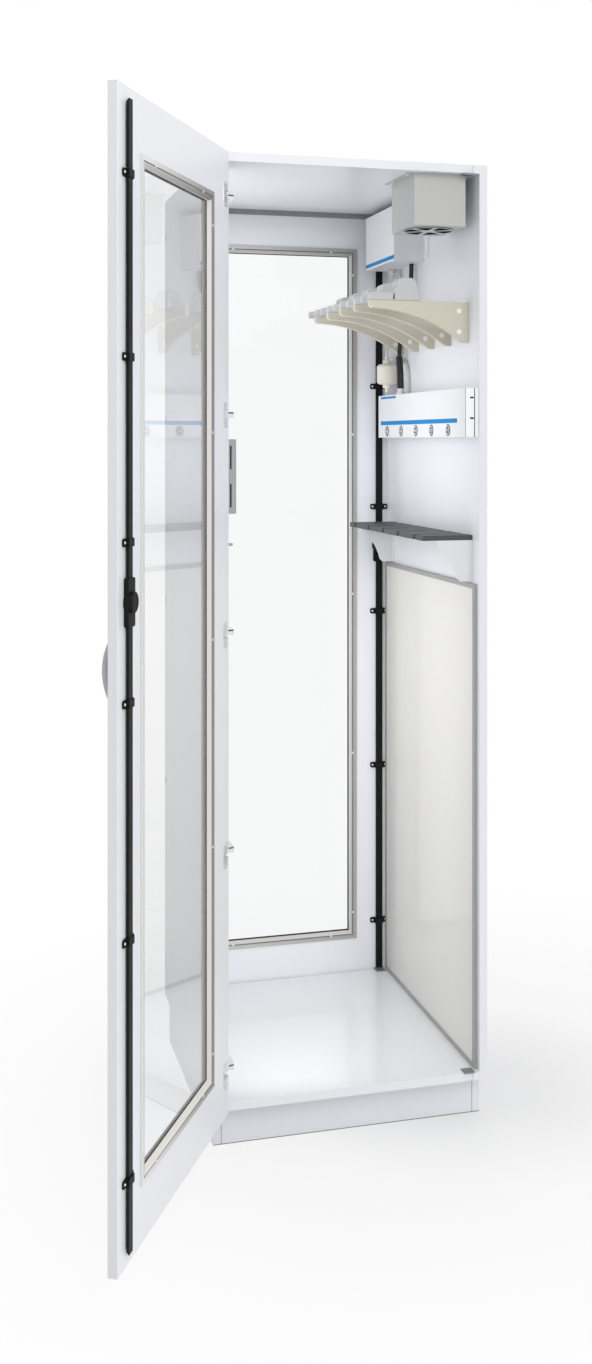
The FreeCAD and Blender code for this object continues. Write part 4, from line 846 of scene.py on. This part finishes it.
@dataclass
class Fan:
    """The ceiling fan: sheet housing, round guard, and the dark fan behind it."""

    centre: Pair = (0.199, -0.215)
    screw_ring: float = 0.0553
    flange_screw: Pair = (0.0085, 0.035)

    def build(self) -> None:
        """Dress the fan, and add its screws and a near-black disc of painted shade behind the
        guard.
        """
        dress({"fan_housing": Skin.FAN_SHEET, "fan_guard": Skin.FAN_GUARD,
               "fan_frame": Skin.FAN_DARK, "fan_rotor": Skin.FAN_DARK})
        angles = [math.radians(turn) for turn in (45, 135, 225, 315)]
        x, y = self.centre
        spots = [(x + self.screw_ring * math.cos(angle), y + self.screw_ring * math.sin(angle),
                  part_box("fan_guard")[0][2]) for angle in angles]
        settle(turned("guard_screws", Skin.ZINC, spots, DOWNWARD, screw_head(0.5, 0.5),
                      14).object(), "hinge_steel")
        self.flange_screws()
        self.shade_disc()

    def flange_screws(self) -> None:
        """White screw caps along the housing's flange under the ceiling."""
        low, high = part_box("fan_housing")
        in_x, in_y = self.flange_screw
        spots = [(x, y, high[2] - 0.0015) for y in (low[1] + in_y, high[1] - in_y)
                 for x in (low[0] + in_x, high[0] - in_x)]
        settle(turned("flange_screws", Skin.CAP_WHITE, spots, DOWNWARD, screw_head(1.1, 0.8),
                      18).object(), "cap_white")

    def shade_disc(self) -> None:
        """A near-black disc inside the housing's mouth, behind the guard's openings: painted
        shade.
        """
        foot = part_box("fan_guard")[1][2]
        settle(turned("fan_shade_disc", Skin.FAN_DARK, [(*self.centre, foot)], UPWARD, (
            (0.0538, 0.0002), (0.0538, 0.0011), (0.0532, 0.0011), (0.0532, 0.0002)),
            48).object(), "fan_black")


@dataclass
class WallBoxes:
    """The control box, the manifold with its ports and bracket, the filter and lines."""

    left: float = -0.300
    front: float = -0.313
    port: Spot = (550, 107, 1505)
    port_pitch: float = 107
    slot_levels: Pair = (0.041, 0.086)
    slot_half: Pair = (0.0044, 0.0019)
    plate_lines: tuple[Spot, ...] = (
        (0.0210, 0.0026, 0.0014), (0.0, 0.0009, -0.0003))
    paint: float = 0.0007

    def point(self, x: float, y: float, z: float) -> Spot:
        """A point given in millimetres from the left face, the front edge and the floor."""
        return self.left + x / 1000, self.front + y / 1000, z / 1000

    def line(self, name: str, route: Sequence[Spot], radius: float,
             skin: Skin) -> bpy.types.Object:
        """A smooth bevelled curve with the route's points as its controls.

        Args:
            name: the piece's name.
            route: points in millimetres as `point` takes them.
            radius: the tube's radius in metres.
            skin: its finish.

        Returns:
            The curve object.
        """
        curve = bpy.data.curves.new(name, "CURVE")
        curve.dimensions = "3D"
        curve.resolution_u = 16
        curve.bevel_depth = radius
        curve.bevel_resolution = 6
        curve.use_fill_caps = True
        spline = curve.splines.new("NURBS")
        spline.points.add(len(route) - 1)
        for control, spot in zip(spline.points, route):
            control.co = (*self.point(*spot), 1.0)
        spline.order_u = 3
        spline.use_endpoint_u = True
        curve.materials.append(PAINT.of(skin))
        made = bpy.data.objects.new(name, curve)
        bpy.context.scene.collection.objects.link(made)
        return made

    def build(self) -> None:
        """Dress the boxes and lay the cable and hoses."""
        dress({"control_box": Skin.CONTROL, "cable_gland": Skin.GLAND,
               "manifold_box": Skin.MANIFOLD, "manifold_ports": Skin.PORT,
               "manifold_end_bracket": Skin.BRIGHT, "air_filter": Skin.FILTER})
        self.cable()
        self.hoses()
        self.port_rings()
        self.bracket_slots()

    def cable(self) -> None:
        """The black cable from the control box into its sleeve on the manifold."""
        route = [(568, 402, 1914), (568, 402, 1882), (568, 420, 1845), (566, 444, 1795),
                 (563, 466, 1745), (561, 475, 1695), (561, 463, 1645), (561, 463, 1596)]
        cable = self.line("control_line", route, 0.0055, Skin.CABLE)
        settle(cable, "cable_black", "control_cable")
        self.point(*route[0])
        boot = [(561, 463, 1611), (561, 463, 1645), (561, 474, 1690)]
        sleeve = self.line("cable_sleeve", boot, 0.0082, Skin.CABLE)
        settle(sleeve, "cable_black", "control_cable")
        nut = turned("sleeve_nut", Skin.PORT, [self.point(*route[-1])], UPWARD, (
            (0.0105, 0.0), (0.0105, 0.006), (0.0095, 0.0068), (0.0078, 0.0072),
            (0.0078, 0.0145)), 24)
        settle(nut.object(), "cable_black", "control_cable")

    def hoses(self) -> None:
        """The clear hose to the filter, its feed below, and the branch beside the wall."""
        runs = {
            "supply_hose": ([(558, 520, 1898), (558, 520, 1868), (558, 530, 1820),
                             (556, 545, 1765), (556, 554, 1725), (556, 554, 1695)],
                            0.004, 0.206),
            "branch_hose": ([(574, 447, 1596), (574, 447, 1636), (574.5, 452, 1660),
                             (575.5, 467, 1677), (576, 489, 1682), (576, 511, 1688),
                             (576, 526, 1706), (576, 530, 1731), (576, 525, 1775),
                             (576, 517, 1825), (576, 516, 1872), (576, 516, 1914)],
                            0.0045, 0.360)}
        for name, (route, radius, length) in runs.items():
            hose = self.line(name, route, radius, Skin.HOSE)
            settle(hose, "hose_clear", "air_hoses")
            self.point(*route[0])
        feed = turned("feed_pipe", Skin.HOSE, [self.point(556, 554, 1596)], UPWARD,
                      ((0.004, 0.0), (0.004, 0.0045), (0.004, 0.009)), 24)
        settle(feed.object(), "hose_clear", "air_hoses")

    def port_rings(self) -> None:
        """A thin dark ring lying round the foot of every port."""
        x, first, z = self.port
        spots = [self.point(x, first + self.port_pitch * index, z) for index in range(5)]
        settle(turned("port_rings", Skin.PORT_RING, spots, (-1, 0, 0), (
            (0.0106, -0.0004), (0.0132, -0.0004), (0.0132, 0.0008), (0.0106, 0.0008)),
            36).object(), "port_grey")

    def bracket_slots(self) -> None:
        """Near-black backs in the two slots of the end bracket as painted shade, and dark lines
        beside its plate.
        """
        low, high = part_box("manifold_end_bracket")
        middle = (low[0] + high[0]) / 2
        piece = Piece("bracket_slots", Skin.SHADE_AND_GAP)
        wide, tall = self.slot_half
        for level in self.slot_levels:
            shape = rectangle((middle - wide, low[2] + level - tall),
                              (middle + wide, low[2] + level + tall))
            # Painted shade: a near-black back inside each slot.
            piece.tube(prism(shape, low[1] + 0.0009, low[1] + 0.0009 + self.paint, 1))
        for start, width, front in self.plate_lines:
            gap = rectangle((low[0] + start, low[2]), (low[0] + start + width, high[2]))
            piece.tube(prism(gap, low[1] + front, low[1] + front + self.paint, 1))
        settle(piece.object(), "bracket_white")


@dataclass
class Hangers:
    """Five beige plates on the right wall, each with a grey cradle near its tip."""

    wall: float = 0.282
    reach: float = 0.232
    top: float = 1.788
    first: float = -0.251
    pitch: float = 0.1085
    thick: float = 0.012
    drop: float = 0.09
    nose: float = 0.012
    bow: float = 0.360
    arm_tall: float = 0.0175
    arm_long: float = 0.060
    arm_turn: float = 0.007
    cheeks: float = 0.054
    dome_wide: float = 0.038

    def underside(self) -> np.ndarray:
        """Outline of a plate in x and z: straight top, arched underside, rounded tip."""
        tip = self.wall - self.reach
        start = np.array([self.wall - 0.014, self.top - self.drop])
        end = np.array([tip + 0.005, self.top - 0.017])
        chord = end - start
        length = np.linalg.norm(chord)
        sag = self.bow - math.sqrt(self.bow ** 2 - length ** 2 / 4)
        t = np.linspace(0, 1, 28)[:, None]
        normal = np.array([-chord[1], chord[0]]) / length
        normal = normal if normal[1] > 0 else -normal
        centre = (start + end) / 2 - normal * (self.bow - sag)
        spot = start + chord * t
        ray = spot - centre
        curve = centre + ray / np.linalg.norm(ray, axis=1, keepdims=True) * self.bow
        return np.concatenate([
            [[tip, self.top], [tip, self.top - self.nose]], curve[::-1],
            [[self.wall, self.top - self.drop], [self.wall, self.top]]])

    def build(self) -> None:
        """Make the plates and cradles."""
        outline = self.underside()
        for index in range(5):
            low = self.first + self.pitch * index
            piece = Piece(f"hanger_plate_{index + 1}", Skin.HANGER)
            piece.tube(prism(outline, low, low + self.thick, 1))
            made = piece.object()
            soften(made, 0.0012)
            settle(made, "hanger_beige", f"scope_hanger_{index + 1}")
        self.cradles()
        dress({"screw_caps": Skin.CAP_WHITE})

    def arm_outline(self) -> np.ndarray:
        """Outline of a cradle arm in x and z with a rounded top corner at the tip."""
        tip = self.wall - self.reach
        tall, turn, end = self.arm_tall, self.arm_turn, tip + self.arm_long
        corner = arc((tip + turn, self.top + tall - turn), turn, 180, 90, 7)
        return np.concatenate([[[tip, self.top]], corner,
                               [[end, self.top + tall], [end, self.top]]])

    def dome_outline(self) -> np.ndarray:
        """Outline of a dome in x and z: a bowed left slope, a flat top, a rounded shoulder."""
        bow = arc((0.0995, -0.004), 0.050, 156.5, 128.5, 6)
        left = arc((0.080, 0.030), 0.0205, 141, 90, 8)
        right = arc((0.095, 0.035), 0.0155, 90, 15, 9)
        shape = np.concatenate([[[0.052, 0.0]], bow[:-1], left, right, [[0.119, 0.0]]])
        return shape + [self.wall - self.reach, self.top]

    def cradles(self) -> None:
        """Grey cradles: two arms, a floor between them and a rounded dome."""
        arms = Piece("cradle_arms", Skin.CRADLE)
        domes = Piece("cradle_domes", Skin.CRADLE)
        tip = self.wall - self.reach
        outline, dome = self.arm_outline(), self.dome_outline()
        for index in range(5):
            low = self.first + self.pitch * index
            for start in (low, low + self.cheeks):
                arms.tube(prism(outline, start, start + self.thick, 1))
            floor = rectangle((tip + 0.046, self.top), (tip + 0.119, self.top + 0.004))[::-1]
            arms.tube(prism(floor, low + 0.0005, low + 0.0655, 1))
            domes.tube(prism(dome, low, low + self.dome_wide, 1))
        made = arms.object()
        soften(made, 0.0016)
        settle(made, "cradle_grey", "hanger_cradles")
        rounded = domes.object()
        soften(rounded, 0.003, 4)
        settle(rounded, "cradle_grey", "hanger_cradles")


@dataclass
class Rail:
    """The slotted rail on its gussets, the cream panel, and the bracket opposite."""

    slots: tuple[Pair, ...] = ((1.338, 1.388), (1.420, 1.470))
    slot_x: Pair = (-0.2521, -0.2479)
    slot_y: Pair = (-0.2125, -0.2118)

    def build(self) -> None:
        """Dress the rail, gussets, panel and left bracket, and back the bracket's slots with
        near-black painted shade.
        """
        dress({"notched_rail": Skin.RAIL, "rail_gussets": Skin.GUSSET,
               "drip_panel": Skin.DRIP, "drip_panel_edging": Skin.EDGING,
               "slotted_bracket": Skin.BRACKET})
        piece = Piece("bracket_slot_shades", Skin.SHADE_AND_GAP)
        shape = rectangle(*zip(self.slot_x, self.slot_y))
        for low, high in self.slots:
            # Painted shade: a near-black back inside each slot.
            piece.tube(prism(shape, low - 0.0001, high + 0.0001, 2))
        settle(piece.object(), "bracket_white")


# ---- studio


@dataclass
class Lamp:
    """A soft rectangular lamp aimed at a point."""

    name: str
    spot: Spot
    aim: Spot
    size: float
    power: float
    tall: float = 0.0
    hidden: bool = False

    def build(self) -> None:
        """Hang the lamp; a hidden one lights without showing in view or gloss."""
        light = bpy.data.lights.new(self.name, "AREA")
        light.shape = "RECTANGLE"
        light.size = self.size
        light.size_y = self.tall or self.size
        light.energy = self.power
        lamp = bpy.data.objects.new(self.name, light)
        lamp.visible_camera = lamp.visible_glossy = not self.hidden
        lamp.location = self.spot
        lamp.rotation_euler = (Vector(self.aim) - Vector(self.spot)).to_track_quat(
            "-Z", "Y").to_euler()
        bpy.context.scene.collection.objects.link(lamp)


@dataclass
class Studio:
    """Camera, lamps, white surround and pale floor."""

    eye: Spot = (-0.8916, -3.1789, 1.4808)
    yaw: float = math.radians(14.86)
    lens: float = 37.25
    drop: float = -0.17685
    surround: float = 0.82
    lean: float = 0.20
    lift: float = 0.27
    # Centre of the painted shadow on the floor, by the cabinet's right side.
    shadow: Spot = (0.35, -0.15, 0.0)
    lamps: tuple[Lamp, ...] = (
        Lamp("key_lamp", (0.1, -3.6, 3.0), (0.05, 0.0, 1.0), 2.2, 39.0),
        Lamp("top_lamp", (0.6, 0.4, 3.8), (0.0, 0.0, 1.0), 2.0, 12.0),
        Lamp("plinth_fill", (0.25, -1.7, 0.3), (0.05, -0.3, 0.08), 1.0, 2.4, tall=0.3,
             hidden=True),
        Lamp("wall_fill", (-0.272, -0.02, 1.40), (0.3, -0.02, 1.40), 0.42, 2.2, tall=1.3,
             hidden=True),
        Lamp("opening_fill", (-0.13, -0.32, 0.95), (-0.05, 0.6, 0.95), 0.26, 1.8, tall=1.5,
             hidden=True))

    def build(self) -> None:
        """Set up everything round the object."""
        self.camera()
        self.world()
        self.floor()
        for lamp in self.lamps:
            lamp.build()
        bpy.context.scene.view_settings.view_transform = "Standard"

    def camera(self) -> None:
        """Level camera at eye height, turned to the right and shifted down."""
        data = bpy.data.cameras.new("camera")
        data.lens = self.lens
        data.sensor_width = 36.0
        data.sensor_fit = "AUTO"
        data.shift_y = self.drop
        data.clip_end = 50.0
        camera = bpy.data.objects.new("camera", data)
        camera.location = self.eye
        camera.rotation_euler = (math.pi / 2, 0.0, -self.yaw)
        bpy.context.scene.collection.objects.link(camera)
        bpy.context.scene.camera = camera

    def world(self) -> None:
        """Light from all round, a little stronger from the right, that is seen as white."""
        world = bpy.data.worlds.new("surround")
        bpy.context.scene.world = world
        sheet = ShaderSheet(world)
        way = sheet.node("ShaderNodeTexCoord", {}, {}, "Generated")
        sided = sheet.along(way)[0] * self.lean + self.surround
        strength = sheet.node("ShaderNodeMapRange", {}, {
            "Value": sheet.rays(), "To Min": sided, "To Max": 1.0})
        ground = sheet.node("ShaderNodeBackground", {}, {"Color": WHITE, "Strength": strength})
        sheet.node("ShaderNodeOutputWorld", {}, {"Surface": ground})

    def floor(self) -> None:
        """A wide white floor that keeps the object's rendered shadow near its foot, with a
        painted shadow round one point.

        In view and gloss the lit, greyer floor gives way to plain white with distance from a
        point by the right side, so a painted shadow is deepest there, added to the rendered one.
        """
        sheet = ShaderSheet.material("studio_floor")
        where = sheet.place()
        seen = sheet.rays()
        away = sheet.node("ShaderNodeVectorMath", {"operation": "DISTANCE"},
                          {0: where, 1: self.shadow}, 1)
        # Painted shadow: near the centre the floor keeps its lit, greyer shading; with distance
        # it turns plain white.
        far = sheet.ramp(away * 0.5, (0.05, 0.0), (0.23, 0.62), (0.52, 0.88), (0.75, 1.0))
        lit = sheet.node("ShaderNodeBsdfDiffuse", {}, {"Color": (0.54, 0.54, 0.545, 1.0)})
        lift = sheet.node("ShaderNodeEmission", {}, {
            "Color": WHITE, "Strength": seen * self.lift})
        near = sheet.node("ShaderNodeAddShader", {}, {0: lit, 1: lift})
        plain = sheet.node("ShaderNodeEmission", {}, {"Color": WHITE})
        material = sheet.finish(sheet.node("ShaderNodeMixShader", {}, {
            0: seen * far, 1: near, 2: plain}))
        reach = 14.0
        mesh = bpy.data.meshes.new("studio_floor")
        mesh.from_pydata([(-reach, -reach, 0), (reach, -reach, 0), (reach, reach, 0),
                          (-reach, reach, 0)], [], [(0, 1, 2, 3)])
        mesh.materials.append(material)
        floor = bpy.data.objects.new("studio_floor", mesh)
        bpy.context.scene.collection.objects.link(floor)


def main() -> None:
    """Build the studio and every sub-assembly in order."""
    logging.basicConfig(level=logging.INFO, format="%(name)s: %(message)s")
    Studio().build()
    for part in (Carcass(), Door("rear"), Door("front"), Fan(), WallBoxes(), Hangers(), Rail()):
        LOG.info("building %s", type(part).__name__)
        part.build()


if __name__ == "__main__":
    main()
